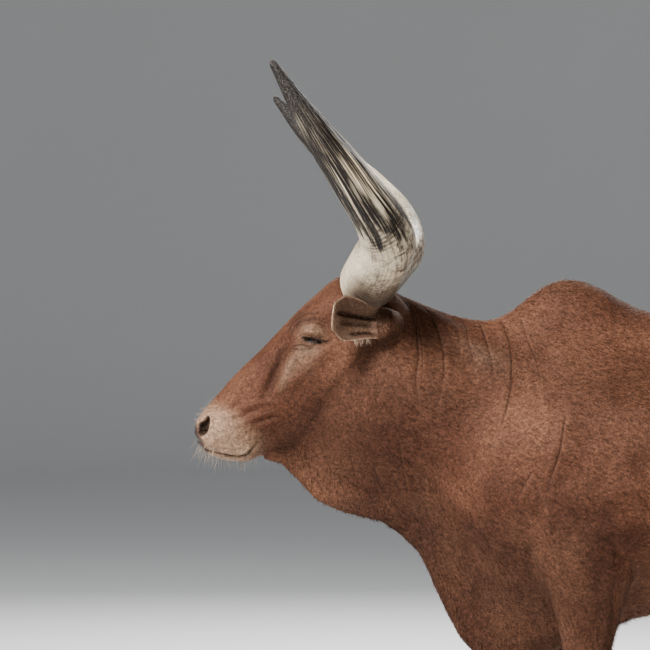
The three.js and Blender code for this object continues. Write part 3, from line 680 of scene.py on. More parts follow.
def make_skin(material):
    """The one skin over all flesh, with its masks of hair, bare skin, painted highlight and painted shade."""
    skin = base_skin()
    p = points_of(skin.data)
    edges = edges_of(skin.data)
    trunk = ease(100, 240, p[:, 0]) * ease(560, 700, p[:, 2]) * ease(1975, 1900, p[:, 0])
    p = relax(p, edges, 0.35 + 0.65 * trunk, 26)
    p = relax(p, edges, trunk, 34)
    move_points(skin.data, p)
    refine(skin)
    p = points_of(skin.data)
    p = relax(p, edges_of(skin.data), 0.9 * ease(200, 150, p[:, 0]) + 0.1, 7)
    move_points(skin.data, p)
    n = normals_of(skin.data)
    # crease: the painted shade of the fine creases' bottoms
    _, crease = near_lines(p)
    inset = COAT_DEPTH * (0.35 + 0.65 * ease(150, 260, p[:, 0])) * ease(40, 110, p[:, 2])
    p = p + n * (shape_head(p, n) + shape_body(p, n) - inset)[:, None]
    move_points(skin.data, p)
    n = normals_of(skin.data)
    nostril, painted_nostril_shade = carve_nostrils(p, n)
    mouth, slit = carve_mouth(p, n)
    p = p + nostril + mouth
    lid = shape_lids(p)
    p[:, 2] = np.maximum(p[:, 2], CORONET - 14)
    move_points(skin.data, p)
    pale, bare, dark = markings(points_of(skin.data))
    # The deep mask: painted shade in the fine creases, inside the nostrils and along the mouth's slit
    mark(skin.data, pale, np.clip(bare + lid, 0, 1), dark, np.clip(0.85 * crease + painted_nostril_shade + slit, 0, 1))
    skin.data.shade_smooth()
    settle(skin, "hide", material, *FLESH)
    return skin


# Markings with painted highlights and painted shade, the same for skin and tufts

def markings(p):
    """Masks over the body at side-frame points: pale hair with painted highlights, bare skin, and darker hair
    with painted shade.
    """
    s, h, y = in_face(p)
    x, z = p[:, 0], p[:, 2]
    on_head = ease(230, 150, x) * ease(-10, 20, s)
    wander = 14 * noise(p, 40, seed=9)
    pad = ease(492, 508, s + 0.25 * (h + 50) - 0.10 * y + 0.3 * wander) * ease(-86, -74, h)
    painted_hollow_shade = np.zeros(len(p))
    painted_roll_highlight = np.zeros(len(p))
    near = (on_head > 0) & (z > 1150)
    # Painted shade along the hollows and painted highlight along the rolls of these lines
    for pixels, width, height in FACE_LINES[SHADED_LINES]:
        d, t = line_distance(p[near][:, [0, 2]], from_photo(pixels, FACE_SIDE))
        tone = bell(d / (width + 3)) * arched(t) * ease(20, 45, y[near]) * on_head[near]
        target = painted_roll_highlight if height > 0 else painted_hollow_shade
        target[near] = np.maximum(target[near], tone)
    ring = ease(400, 470, s - 0.15 * h + wander) * on_head * ease(-190, -150, h) * (1 - pad)
    eye = from_eye(p, 0.6)
    round_eye = ease(56, 26, eye + 0.6 * wander) * on_head
    # Paler on the cheekbone below the eye: partly paler hair, partly a painted highlight
    cheek = bell(np.hypot((s - 188) / 40, (h + 86) / 28)) * on_head * ease(20, 45, y)
    under = ease(690, 560, z) * ease(120, 50, y) * ease(850, 950, x)
    # A pale band along the neck's muscle ridge: a painted highlight
    band, t = line_distance(p[:, [0, 2]], np.array(BODY_FOLDS[0][0], float))
    painted_neck_highlight = arched(t, 0.1) * ease(60, 90, y) * bell(band / 34)
    feet = ease(520, 260, z + 3 * wander)
    # Darker low on the chest and forelegs: painted shade
    painted_chest_shade = ease(1000, 800, z + 5 * wander) * (x < 700)
    back = ease(1380, 1450, z) * (x > 500)
    # Darker under the jaw: painted shade
    painted_throat_shade = ease(-110, -210, h) * on_head * ease(440, 350, s)
    # Darker low on the neck below the muscle band: painted shade
    painted_low_neck_shade = ease(40, 110, band) * ease(330, 240, x) * ease(1240, 1180, z) * (1 - on_head)
    # pale and dark mix the hair's own tones with painted highlights (rolls, cheek, neck band) and painted
    # shade (hollows, chest, throat, low neck)
    pale = 0.55 * ring + 0.10 * round_eye + 0.26 * painted_roll_highlight + 0.17 * cheek + 0.15 * under + 0.24 * painted_neck_highlight
    dark = 0.55 * feet + 0.35 * painted_chest_shade + 0.35 * back + 0.50 * painted_hollow_shade + 0.30 * painted_throat_shade + 0.22 * painted_low_neck_shade
    return [np.clip(mask, 0, 1) for mask in (pale, pad + 0.12 * ease(26, 21, eye), dark)]


# Materials

def rgb(r, g, b):
    return (r, g, b, 1.0)


def grey(tone):
    return (tone, tone, tone, 1.0)


class Nodes:
    """A short way to write a material's nodes."""
    def __init__(self, name):
        self.material = bpy.data.materials.new(name)
        self.material.use_nodes = True
        self.tree = self.material.node_tree
        self.shader = next(n for n in self.tree.nodes if n.type == "BSDF_PRINCIPLED")

    def feed(self, node, sockets):
        for key, value in sockets.items():
            if isinstance(value, bpy.types.NodeSocket):
                self.tree.links.new(value, node.inputs[key])
            else:
                node.inputs[key].default_value = value

    def shade(self, sockets):
        """Sets or links the shader's own sockets, and gives the finished material."""
        self.feed(self.shader, sockets)
        return self.material

    def put(self, kind, sockets, **settings):
        node = self.tree.nodes.new("ShaderNode" + kind)
        for name, value in settings.items():
            setattr(node, name, value)
        self.feed(node, sockets)
        return node

    def value(self, name):
        return self.put("Attribute", {}, attribute_name=name).outputs["Fac"]

    def mix(self, amount, a, b, way="MIX"):
        return self.put("Mix", {0: amount, 6: a, 7: b}, data_type="RGBA", blend_type=way).outputs[2]

    def math(self, what, a, b, clamp=False):
        return self.put("Math", {0: a, 1: b}, operation=what, use_clamp=clamp).outputs[0]

    def times(self, a, b, clamp=False):
        return self.math("MULTIPLY", a, b, clamp)

    def place(self, scale=(1, 1, 1), turn=(0, 0, 0), where=None):
        if where is None:
            where = self.put("TexCoord", {}).outputs["Object"]
        return self.put("Mapping", {"Vector": where, "Scale": scale, "Rotation": turn}).outputs["Vector"]

    def noise(self, vector, scale, detail=4.0, roughness=0.55):
        sockets = {"Vector": vector, "Scale": scale, "Detail": detail, "Roughness": roughness}
        return self.put("TexNoise", sockets).outputs["Fac"]

    def ramp(self, value, low, high, dark=0.0, light=1.0):
        """Greys from dark at low to light at high."""
        node = self.put("ValToRGB", {0: value})
        for element, place, tone in zip(node.color_ramp.elements, (low, high), (dark, light)):
            element.position = place
            element.color = grey(tone)
        return node.outputs["Color"]

    def bump(self, height, strength, distance, under=None):
        sockets = {"Height": height, "Strength": strength, "Distance": distance}
        if under is not None:
            sockets["Normal"] = under
        return self.put("Bump", sockets).outputs["Normal"]


COAT = rgb(0.074, 0.031, 0.018)
COAT_LIGHT = rgb(0.132, 0.062, 0.037)
# Dark hair, and painted shade where the dark mask carries it
COAT_DARK = rgb(0.020, 0.011, 0.008)
# Pale hair, and painted highlights where the pale mask carries it
PALE_HAIR = rgb(0.33, 0.235, 0.165)
BARE_SKIN = rgb(0.042, 0.030, 0.026)
# Near black painted shade for crease bottoms, nostrils, the mouth's slit and the ear's furrows
PAINTED_SHADE = rgb(0.010, 0.006, 0.005)


def coat_material(name, tuft=False):
    """The hide, or with tuft the hair on it, which has no bare places and no bumps of its own."""
    m = Nodes(name)
    where = m.place()
    broad = m.noise(where, 5.0, 5.0)
    fine = m.noise(where, 190.0, 3.0, 0.65)
    lie = m.noise(m.place((26, 90, 44), (0, 0.5, 0)), 2.6, 4.0, 0.7)
    base = m.mix(m.ramp(broad, 0.36, 0.66), COAT, COAT_LIGHT)
    base = m.mix(m.times(m.value("dark"), 0.85), base, COAT_DARK)
    base = m.mix(m.value("pale"), base, PALE_HAIR)
    for texture in (m.ramp(fine, 0.32, 0.72, 0.55, 1.35), m.ramp(lie, 0.35, 0.7, 0.72, 1.22)):
        base = m.mix(1.0, base, texture, "MULTIPLY")
    sockets = {"Roughness": m.mix(m.value("bare"), grey(0.68), grey(0.36)), "Specular IOR Level": 0.13}
    if not tuft:
        base = m.mix(m.value("bare"), base, BARE_SKIN)
        sockets["Normal"] = m.bump(fine, 0.5, 0.0014, m.bump(lie, 0.35, 0.003))
    # The deep mask darkens towards the painted shade
    sockets["Base Color"] = m.mix(m.times(m.value("deep"), 0.8), base, PAINTED_SHADE)
    return m.shade(sockets)


def horn_material():
    """Ivory at the base with painted shade on its underside, dark threads that run together along the horn,
    and a near black tip.
    """
    m = Nodes("horn")
    uv = m.put("UVMap", {}, uv_map="horn").outputs["UV"]
    stretch = m.place((6.0, 70.0, 1.0), where=uv)
    fibres = m.noise(stretch, 1.0, 6.0, 0.7)
    cloud = m.noise(m.place(), 13.0, 4.0)
    dots = m.noise(m.place(), 260.0, 3.0)
    streak = m.value("streak")
    ivory = m.mix(m.ramp(cloud, 0.35, 0.7), rgb(0.47, 0.385, 0.275), rgb(0.60, 0.52, 0.40))
    # The ring mask darkens the ivory: growth rings, cracks and the painted shade under the base
    ivory = m.mix(m.times(m.value("ring"), 0.92), ivory, rgb(0.060, 0.043, 0.032))
    threads = m.ramp(fibres, 0.40, 0.55)
    hairline = m.ramp(m.noise(m.place((11.0, 190.0, 1.0), where=uv), 1.0, 3.0, 0.6), 0.42, 0.56)
    both = m.math("ADD", m.times(threads, 0.6), m.times(hairline, 0.4))
    cover = m.math("ADD", both, m.math("SUBTRACT", m.times(streak, 0.9), 0.35))
    dirt = m.times(m.times(streak, 1.5, clamp=True), cover, clamp=True)
    stain = m.ramp(m.noise(m.place(), 60.0, 6.0, 0.8), 0.47, 0.60)
    scratch = m.ramp(m.noise(stretch, 0.9, 5.0, 0.8), 0.48, 0.60)
    worn = m.times(m.value("worn"), m.math("ADD", stain, m.times(scratch, 0.7)))
    ivory = m.mix(worn, ivory, rgb(0.075, 0.055, 0.042))
    streaked = m.mix(dirt, ivory, rgb(0.010, 0.007, 0.006))
    black = m.mix(m.ramp(dots, 0.46, 0.68), rgb(0.010, 0.008, 0.007), rgb(0.070, 0.060, 0.052))
    return m.shade({
        "Base Color": m.mix(m.value("tip"), streaked, black),
        "Roughness": m.mix(dirt, grey(0.30), grey(0.55)),
        "Specular IOR Level": 0.22,
        "Subsurface Weight": 0.06,
        "Subsurface Radius": (0.006, 0.004, 0.002),
        "Normal": m.bump(dots, 0.25, 0.0006, m.bump(fibres, 0.7, 0.0022)),
    })


def hoof_material():
    m = Nodes("hoof")
    layers = m.noise(m.place((14, 14, 300)), 1.0, 4.0, 0.6)
    specks = m.noise(m.place(), 90.0, 4.0)
    base = m.mix(layers, rgb(0.020, 0.017, 0.015), rgb(0.070, 0.058, 0.048))
    base = m.mix(m.ramp(specks, 0.55, 0.75), base, rgb(0.13, 0.11, 0.09))
    return m.shade({"Base Color": base, "Roughness": 0.46, "Normal": m.bump(layers, 0.5, 0.002)})


def eye_material():
    m = Nodes("eye")
    rays = m.noise(m.place(), 420.0, 3.0)
    white = m.mix(rays, rgb(0.020, 0.013, 0.010), rgb(0.075, 0.052, 0.042))
    brown = m.mix(rays, rgb(0.010, 0.005, 0.003), rgb(0.040, 0.019, 0.010))
    colour = m.mix(m.value("iris"), white, brown)
    return m.shade({
        "Base Color": m.mix(m.value("pupil"), colour, rgb(0.004, 0.004, 0.005)),
        "Roughness": 0.12,
        "Specular IOR Level": 0.2,
        "Coat Weight": 0.35,
        "Coat Roughness": 0.03,
    })


def toned_material(name, colours, stretch, scale, roughness, specular):
    """Two colours mixed by soft noise, for long hairs and for the floor."""
    m = Nodes(name)
    colour = m.mix(m.noise(m.place(stretch), scale, 3.0), *colours)
    return m.shade({"Base Color": colour, "Roughness": roughness, "Specular IOR Level": specular})


# Horns

HORN_LINES = {
    "left": (
        (86, -56, 1427), (104, -108, 1444), (131, -210, 1489), (150, -320, 1543), (121, -402, 1606),
        (70, -465, 1672), (8, -510, 1755), (-57, -540, 1846), (-125, -560, 1953),
    ),
    "right": (
        (86, 56, 1427), (106, 108, 1445), (150, 210, 1492), (194, 320, 1554), (176, 408, 1626),
        (116, 473, 1700), (36, 517, 1778), (-50, 545, 1856), (-137, 560, 1953),
    ),
}
HORN_RADII = (50, 69, 72, 67, 60, 52, 41, 26, 9)


def centripetal(points, samples):
    """Places along a Catmull-Rom curve of the centripetal kind, evenly spaced by their number."""
    points = np.asarray(points, float)
    row = np.vstack([2 * points[0] - points[1], points, 2 * points[-1] - points[-2]])
    t = np.linspace(0, 1, samples) * (len(points) - 1)
    i = np.minimum(t.astype(int), len(points) - 2)
    f = (t - i)[:, None]
    a, b, c, d = (row[i + k] for k in range(4))
    lengths = (np.linalg.norm(q - p, axis=1) ** 0.5 for p, q in ((a, b), (b, c), (c, d)))
    ab, bc, cd = (np.maximum(length, 1e-4)[:, None] for length in lengths)
    m1 = ((b - a) / ab - (c - a) / (ab + bc) + (c - b) / bc) * bc
    m2 = ((c - b) / bc - (d - b) / (bc + cd) + (d - c) / cd) * bc
    return (2 * b - 2 * c + m1 + m2) * f**3 + (-3 * b + 3 * c - 2 * m1 - m2) * f**2 + m1 * f + b


def map_horn(mesh, t, sides, squares, fans):
    """The map of a horn: u along it and v round it, with the seam on the edge of a face."""
    uv = []
    for corners in (squares, fans[:, 1:]):
        column = corners % sides
        seam = (column.min(1) == 0) & (column.max(1) == sides - 1)
        turned = column + sides * (seam[:, None] & (column == 0))
        uv.append(np.stack([t[corners // sides], turned / sides], -1))
    tips = np.stack([np.repeat((0.0, 1.0), sides), (fans[:, 1] % sides) / sides], -1)
    uv[1] = np.concatenate([tips[:, None], uv[1]], 1)
    flat = np.concatenate([part.ravel() for part in uv]).astype(np.float32)
    mesh.uv_layers.new(name="horn").data.foreach_set("uv", flat)


def make_horn(word, material):
    """A horn round its line, with growth rings, furrows, cracks, dark streaks, a dark tip, painted shade
    under its base and a painted highlight where one side is kept clear of streaks.
    """
    stations, sides = 290, 116
    line = centripetal(HORN_LINES[word], stations)
    t = np.linspace(0, 1, stations)
    tangent = unit(np.gradient(line, axis=0))
    lateral = np.array([1.0, 0, 0])
    side = unit(lateral - (tangent @ lateral)[:, None] * tangent)
    up = np.cross(tangent, side)
    turn = np.linspace(0, 2 * math.pi, sides, endpoint=False)
    radius = along(HORN_RADII, t) * np.sqrt(1 - 0.97 * np.clip((t - 0.985) / 0.015, 0, 1) ** 2)
    tt, aa = np.meshgrid(t, turn, indexing="ij")
    cos, sin = np.cos(aa), np.sin(aa)
    length = np.concatenate([[0], np.cumsum(np.linalg.norm(np.diff(line, axis=0), axis=1))])
    reach = np.repeat(length[:, None], sides, 1)

    def lumps(size, seed, wide=60):
        """Noise on a cylinder as long as the horn, with the radius wide."""
        wrap = np.stack([reach.ravel(), wide * cos.ravel(), wide * sin.ravel()], 1)
        return noise(wrap, size, seed).reshape(tt.shape)

    wander = lumps((90, 60, 60), 3)
    blotch = lumps((120, 40, 40), 8)
    fibre = 0.7 * lumps((170, 26, 26), 11, 300) + 0.7 * lumps((90, 13, 13), 12, 300)
    rings_here = ease(0.52, 0.24, tt + 0.05 * wander)
    phase = reach / 9.0 + 0.9 * wander + 0.9 * lumps((26, 200, 200), 5)
    ring = rings_here * bell((np.mod(phase, 1.0) - 0.5) / 0.13)
    start = 0.415 + 0.045 * lumps((1e6, 60, 60), 7, 300)
    streak = ease(0.0, 0.07, tt - start) * (0.70 + 0.45 * blotch + 0.85 * fibre)
    streak = np.clip(streak + 0.6 * ease(0.62, 0.80, tt), 0, 1)
    # Low on the horn its back stays clear of streaks: a lighter band that is a painted highlight
    inward = 0.80 if word == "left" else -0.80
    streak *= 1 - ease(0.66, 0.90, np.cos(aa - inward)) * ease(0.84, 0.62, tt)
    arc = 0.440 + 0.022 * np.cos(aa + 0.6)
    hoops = ease(-0.1, 0.5, np.cos((tt - arc) * 2 * math.pi / 0.0125 + 2.4 * wander))
    swirl = bell((tt - arc) / 0.032) * hoops * ease(-0.7, 0.3, lumps((30, 50, 50), 15))
    crack = bell(lumps((34, 30, 30), 16) / 0.05) * ease(0.02, 0.1, tt) * ease(0.47, 0.38, tt)
    swirl = np.maximum(swirl, 0.85 * crack * ease(-0.3, 0.4, blotch))
    # Darker on the underside near the base: painted shade
    facing_down = -(cos * side[:, None, 2] + sin * up[:, None, 2])
    painted_base_shade = ease(0.34, 0.17, tt) * ease(0.05, 0.70, facing_down + 0.3 * blotch)
    swirl = np.maximum(swirl, painted_base_shade)
    relief = -1.8 * ease(0.42, 0.50, tt) * ease(0.15, 0.75, fibre) * ease(1.0, 0.9, tt)
    relief -= 1.1 * np.minimum(swirl, 1) * (1 - painted_base_shade)
    relief += 1.4 * lumps((70, 70, 70), 20) * ease(0.02, 0.2, tt) + 0.35 * lumps((7, 9, 9), 21)
    r = np.maximum(radius[:, None] + relief * ease(1.0, 0.93, tt) - 0.9 * ring, 0.6)
    rings = line[:, None] + r[..., None] * (cos[..., None] * side[:, None] + sin[..., None] * up[:, None])
    points = np.vstack([rings.reshape(-1, 3), line[0], line[-1] + 2.0 * tangent[-1]])
    squares, fans = tube_faces(stations, sides)
    horn = mesh_object(f"horn_{word}_fine", points, squares, fans)
    map_horn(horn.data, t, sides, squares, fans)
    worn = np.clip(0.75 + 0.60 * blotch + 0.40 * ease(0.12, 0.0, tt), 0, 1) * ease(0.60, 0.48, tt)
    masks = {
        "streak": np.clip(streak * (1 - 0.3 * rings_here), 0, 1),
        # ring carries the growth rings, swirls and cracks, and the painted shade under the base
        "ring": np.clip(0.4 * ring + swirl, 0, 1),
        "tip": ease(0.80, 0.93, tt + 0.05 * lumps((60, 40, 40), 30)),
        "worn": worn * (0.35 + 0.65 * ease(-0.9, 0.1, cos + 0.5 * facing_down)),
    }
    for name, mask in masks.items():
        attribute(horn.data, name, np.append(mask.ravel(), (0, 0)))
    settle(horn, "horn", material, f"horn_{word}")


# Eyes

def make_eye(word, side, material):
    """A ball with a raised cornea, an iris and a level pupil."""
    p, faces = sphere_points((0, 0, 0), (1, 1, 1), detail=64)
    gaze = unit(np.array([-0.30, side * 0.94, 0.02]))
    angle = np.arccos(np.clip(p @ gaze, -1, 1))
    r = EYE["radius"] * (1 + 0.045 * bell(angle / 0.42))
    mesh = bpy.data.meshes.new(f"eye_{word}_fine")
    mesh.from_pydata(to_world(EYE_POINT[side] + p * r[:, None]).tolist(), [], faces)
    mesh.shade_smooth()
    level = unit(np.cross(np.cross(gaze, np.array([1.0, 0, -0.15])), gaze))
    pupil = np.hypot(p @ level / 0.30, p @ np.cross(gaze, level) / 0.15)
    attribute(mesh, "iris", ease(0.80, 0.70, angle))
    attribute(mesh, "pupil", ease(1.05, 0.9, pupil) * (p @ gaze > 0))
    settle(linked(f"eye_{word}_fine", mesh), "eye", material, f"eye_{word}")


# Ears

EAR_TIP = (20, 264, 1361)
EAR = {
    "half_widths": (36, 40, 40, 42, 49, 54, 53, 34),
    "cup": (14, 20, 28, 31, 29, 22, 12, 3),
    "conch": (24, 27, 20, 0, 0, 0, 0, 0),
    "thickness": (22, 17, 9, 6, 5, 4.5, 4, 3),
}


def ear_frame(side):
    root = np.array(EAR_ROOT, float) * (1, side, 1)
    tip = np.array(EAR_TIP, float) * (1, side, 1)
    axis = unit(tip - root)
    upright = np.array([0.06, 0, 1.0])
    up = unit(upright - (upright @ axis) * axis)
    return root, tip, axis, up, unit(np.cross(axis, up) * side)


def ear_valleys(t, w):
    """Three furrows along the hollow of the ear: a deep one, a shallow one and a short one."""
    lines = ((0.20, 0.11, 1.0, 1.0), (-0.26, 0.10, 0.55, 0.9), (-0.74, 0.09, 0.8, 0.75))
    return sum(depth * bell((w - place + 0.05 * (t - 0.6)) / width) * ease(reach, reach - 0.2, t)
               for place, width, depth, reach in lines)


def ear_surface(side, t, w, way):
    """Points of an ear at t from root to tip and w across; way is 1 inside and -1 outside."""
    root, tip, _, up, open_way = ear_frame(side)
    width = along(EAR["half_widths"], t)
    depth = along(EAR["cup"], t)
    thick = along(EAR["thickness"], t) / 2
    centre = root + t[..., None] * (tip - root)
    sink = depth * (1 - w**2) - way * thick * np.sqrt(np.clip(1 - w**4, 0.02, 1))
    if way > 0:
        inside = ease(0.20, 0.34, t) * ease(1.0, 0.86, t) * ease(1.0, 0.86, np.abs(w))
        sink = sink + inside * (8.0 * ear_valleys(t, w) - 2.6)
        closed = ease(0.30, 0.17, t + 0.04 * w)
        crown = along(EAR["conch"], t) * np.sqrt(np.clip(1 - w**2, 0, 1))
        sink = sink * (1 - closed) - crown * closed
    return centre + (width * w)[..., None] * up - sink[..., None] * open_way


def make_ear(word, side, material):
    """A cupped ear with a furrowed hollow, a pale rim as a painted highlight, and painted shade in the
    furrows and low on the conch.
    """
    rows, across = 72, 48
    t = np.clip(np.linspace(-0.04, 1, rows), 0, 1)
    t = np.where(t > 0.86, 0.86 + 0.14 * np.sin((t - 0.86) / 0.14 * math.pi / 2), t)
    w = np.sin(np.linspace(-1, 1, across) * math.pi / 2)
    tt, ww = np.meshgrid(t, w, indexing="ij")
    rings = np.concatenate([ear_surface(side, tt, ww, 1), ear_surface(side, tt, ww[:, ::-1], -1)], axis=1)
    ear = closed_tube(f"ear_{word}_fine", rings, (rings[0].mean(0), rings[-1].mean(0)), side > 0)
    w = np.append(np.tile(np.concatenate([w, w[::-1]]), rows), (0, 0))
    t = np.append(np.repeat(t, 2 * across), (0, 1))
    is_in = np.append(np.tile(np.repeat((1, 0), across), rows), (0, 1))
    # The pale rim is a painted highlight along the edges and tip
    rim = np.maximum(ease(0.92, 0.975, np.abs(w)) * ease(0.2, 0.4, t), ease(0.965, 0.99, t))
    hollow = is_in * ease(0.20, 0.30, t + 0.04 * w) * (1 - rim)
    painted_furrow_shade = np.clip(ear_valleys(t, w), 0, 1) * hollow
    # Pale inside the hollow except in the furrows: paler inner hair with a painted highlight on the ridges
    pale = np.clip(0.95 * rim + 0.27 * hollow * (1 - painted_furrow_shade) + 0.10 * (1 - hollow), 0, 1)
    # Darker over the hollow and low on the conch near the root: painted shade
    dark = 0.1 * hollow + 0.5 * ease(0.1, -0.7, w) * ease(0.30, 0.16, t) * (1 - rim)
    mark(ear.data, pale, 0.1 * hollow, dark, 0.95 * painted_furrow_shade)
    settle(ear, "hide", material, f"ear_{word}")


# Feet

FEET = {
    "foreleg_left": (603 + 26, -155), "foreleg_right": (603 - 48, 155),
    "hindleg_left": (1766 + 34, -155), "hindleg_right": (1766 - 96, 155),
}
HOOF = {"length": 124, "width": 106, "cleft": 7}
# Levels from the coronet to the sole, and a claw's length, width and shift backwards at each
CLAW_LEVELS = (0, 0.33, 0.7, 0.93, 1)
CLAW_SHAPE = ((0.76, 0.86, 0.95, 1.0, 0.97), (0.86, 0.93, 0.98, 1.0, 0.95), (6, 2, -2, -5, -5))
CLAW_INNER = 14
DEWCLAW = {"radius": 13.6, "root": 14, "length": 44, "lean": 0.55}


def make_claw(leg, word, half, material):
    """One claw: layered horn, flat towards the cleft, with a bulb at the heel."""
    x, y = FEET[leg]
    z = np.concatenate([[CORONET - 0.3], np.linspace(CORONET - 1.2, 3, 36), [1.4, 0.5, 0.0]])
    zz, aa = np.meshgrid(z, np.linspace(0, 2 * math.pi, 56, endpoint=False), indexing="ij")
    tt = 1 - zz / CORONET
    toe, out = np.cos(aa), np.sin(aa)
    grow, broad, back = (np.interp(tt, CLAW_LEVELS, row) for row in CLAW_SHAPE)
    taper = 1 - 0.3 * np.maximum(0, toe) ** 2
    middle = HOOF["cleft"] / 2 + CLAW_INNER
    spread = np.where(out > 0, HOOF["width"] / 2 - middle, CLAW_INNER)
    wrap = np.stack([zz.ravel(), 40 * toe.ravel(), 40 * out.ravel()], 1)
    layer = 0.7 * np.sin(zz / 4.6 + 0.8 * np.sin(aa * 2)) * ease(1.0, 0.9, tt)
    layer += 0.5 * noise(wrap, (3, 60, 60), 4).reshape(zz.shape)
    px = x + back - (HOOF["length"] / 2) * grow * toe - 6 - layer * toe
    py = middle + (spread * broad * taper) * out + layer * out * (out > 0)
    rings = np.stack([px, y + half * py, zz], -1)
    ends = [(x, y + half * middle, level) for level in (z[0], 0)]
    claw = closed_tube(f"claw_{leg}_{word}", rings, ends, half < 0)
    settle(claw, "hoof", material, f"hoof_{leg}_{word}")


def make_dewclaw(leg, word, material):
    """A small blunt cone of layered horn behind the fetlock, pointing down and back."""
    columns, rows = 28, 26
    turn = np.linspace(0, 2 * math.pi, columns, endpoint=False)[:, None]
    u = np.linspace(0, 1, rows)
    ring = along((0.10, 0.84, 0.99, 1.0, 0.90, 0.72, 0.48, 0.05), u) * (1 + 0.025 * np.sin(34 * u))
    across, aside = (DEWCLAW["radius"] * ring * wave for wave in (np.cos(turn), np.sin(turn)))
    down = DEWCLAW["length"] * u - DEWCLAW["root"]
    c, s = math.cos(DEWCLAW["lean"]), math.sin(DEWCLAW["lean"])
    p = np.stack([across * c + down * s, aside, across * s - down * c], -1) + dewclaw_base(leg, word)
    i = np.arange(columns)[:, None] * rows + np.arange(rows - 1)
    j = (i + rows) % (columns * rows)
    squares = np.stack([i, i + 1, j + 1, j], -1).reshape(-1, 4)
    claw = mesh_object(f"dewclaw_{leg}_{word}_fine", p.reshape(-1, 3), squares)
    settle(claw, "hoof", material, f"dewclaw_{leg}_{word}")


# Tufts and hairs

def strands(name, root, way, normal, length, width, material, rings=1, bend=None, thick=0.4, shade=None):
    """Closed tapered hairs or tufts as one mesh, each with its patch in the map OFBake.

    shade, where given, is the normal that each tuft is lit with, close to that of the skin below it."""
    count = len(root)
    across = unit(np.cross(way, normal))
    t = np.arange(rings) / rings
    sag = np.zeros((count, 3)) if bend is None else bend
    centre = root[:, None] + way[:, None] * (length[:, None] * t)[..., None]
    centre = centre + sag[:, None] * (t**2)[None, :, None]
    half = width[:, None, None] * np.interp(t, [0, 0.35, 1], [0.75, 1.0, 0.1])[None, :, None] / 2
    left = centre - across[:, None] * half
    right = centre + across[:, None] * half
    top = centre + np.cross(across, way)[:, None] * (half * 2 * thick)
    tip = root + way * length[:, None] + sag
    p = np.concatenate([np.stack([left, right, top], 2).reshape(count, -1, 3), tip[:, None]], 1)
    per = 3 * rings + 1
    tris = [(0, 1, 2)]
    sides = ((1, 0), (2, 1), (0, 2))
    for low in range(0, 3 * rings - 3, 3):
        for a, b in sides:
            tris += [(low + a, low + b, low + 3 + b), (low + a, low + 3 + b, low + 3 + a)]
    tris += [(3 * rings - 3 + a, 3 * rings - 3 + b, per - 1) for a, b in sides]
    faces = (np.arange(count)[:, None, None] * per + np.array(tris)[None]).reshape(-1, 3)
    made = mesh_object(name, p.reshape(-1, 3), faces)
    mark(made.data, *(np.repeat(mask, per) for mask in markings(root)), np.zeros(count * per))
    if shade is not None:
        made.data.normals_split_custom_set_from_vertices(np.repeat(shade, per, axis=0).astype(np.float32))
    corner = TUFT_PATCH * np.array([[0, 0], [1, 0], [0.5, 1]])
    uv = (unwrap(root)[:, None] + np.resize(corner, (per, 2))[None]).reshape(-1, 2)
    layer = made.data.uv_layers.new(name="OFBake")
    layer.data.foreach_set("uv", uv[faces.ravel()].astype(np.float32).ravel())
    settle(made, "tail_hair" if "switch" in name else "hide", material)
    return made


# The trunk's middle height along x, for the unwrap
AXIS_X = (-325, -200, -60, 60, 150, 400, 600, 1000, 1500, 1800, 1960)
AXIS_Z = (1060, 1080, 1180, 1250, 1220, 1050, 980, 990, 1050, 1090, 1140)
# The unwrap's parts: where trunk and tail begin, how long they are, the tail's middle and the legs' top
TRUNK_START, TRUNK_LENGTH = -330, 2330
TAIL_START, TAIL_LENGTH, TAIL_AXIS = 1985, 1400, 2028
LEG_TOP = 640


def unwrap(p):
    """The skin unrolled: trunk and head round their axis, legs and tail round theirs."""
    x, y, z = p.T

    def turned(a, b):
        return np.arctan2(a, b) / (2 * math.pi) + 0.5

    centre = np.interp(x, AXIS_X, AXIS_Z)
    length = (x - TRUNK_START) / TRUNK_LENGTH
    uv = np.stack([0.01 + 0.97 * length, 0.01 + 0.56 * turned(y, centre - z)], 1)
    for number, leg in enumerate(LEGS):
        fx, fy = FEET[leg]
        on_leg = (z < LEG_TOP) & (np.abs(x - fx) < 160) & (y * fy > 0)
        strip = np.stack([0.01 + 0.18 * number + 0.17 * turned(y - fy, x - fx), 0.60 + 0.38 * z / LEG_TOP], 1)
        uv = np.where(on_leg[:, None], strip, uv)
    strip = np.stack([0.78 + 0.2 * turned(y, x - TAIL_AXIS), 0.60 + 0.38 * z / TAIL_LENGTH], 1)
    return np.where((x > TAIL_START)[:, None], strip, uv)


def lie_of(p, n):
    """The way the coat lies at each place: down the face, back over the body and down the legs."""
    s, h = in_head(p)
    whorl = 105
    on_head = ease(190, 110, p[:, 0]) * (s > -60)
    face = np.where((s > whorl)[:, None], (-COS, 0, -SIN), (COS, 0, SIN))
    cheek = ease(-60, -150, h)[:, None]
    face = face * (1 - cheek) + np.array([0.35, 0, -0.9]) * cheek
    trunk = np.broadcast_to(np.array([0.80, 0, -0.52]), p.shape)
    leg = np.broadcast_to(np.array([0.12, 0, -1.0]), p.shape)
    down = ease(820, 620, p[:, 2])[:, None]
    way = trunk * (1 - down) + leg * down
    tail = (p[:, 0] > 1975)[:, None]
    way = np.where(tail, (0.02, 0, -1.0), way)
    way = way * (1 - on_head[:, None]) + face * on_head[:, None]
    way = way + 0.25 * np.stack([noise(p, 60, k) for k in (41, 42, 43)], 1)
    way = way - np.sum(way * n, 1, keepdims=True) * n
    return unit(way)


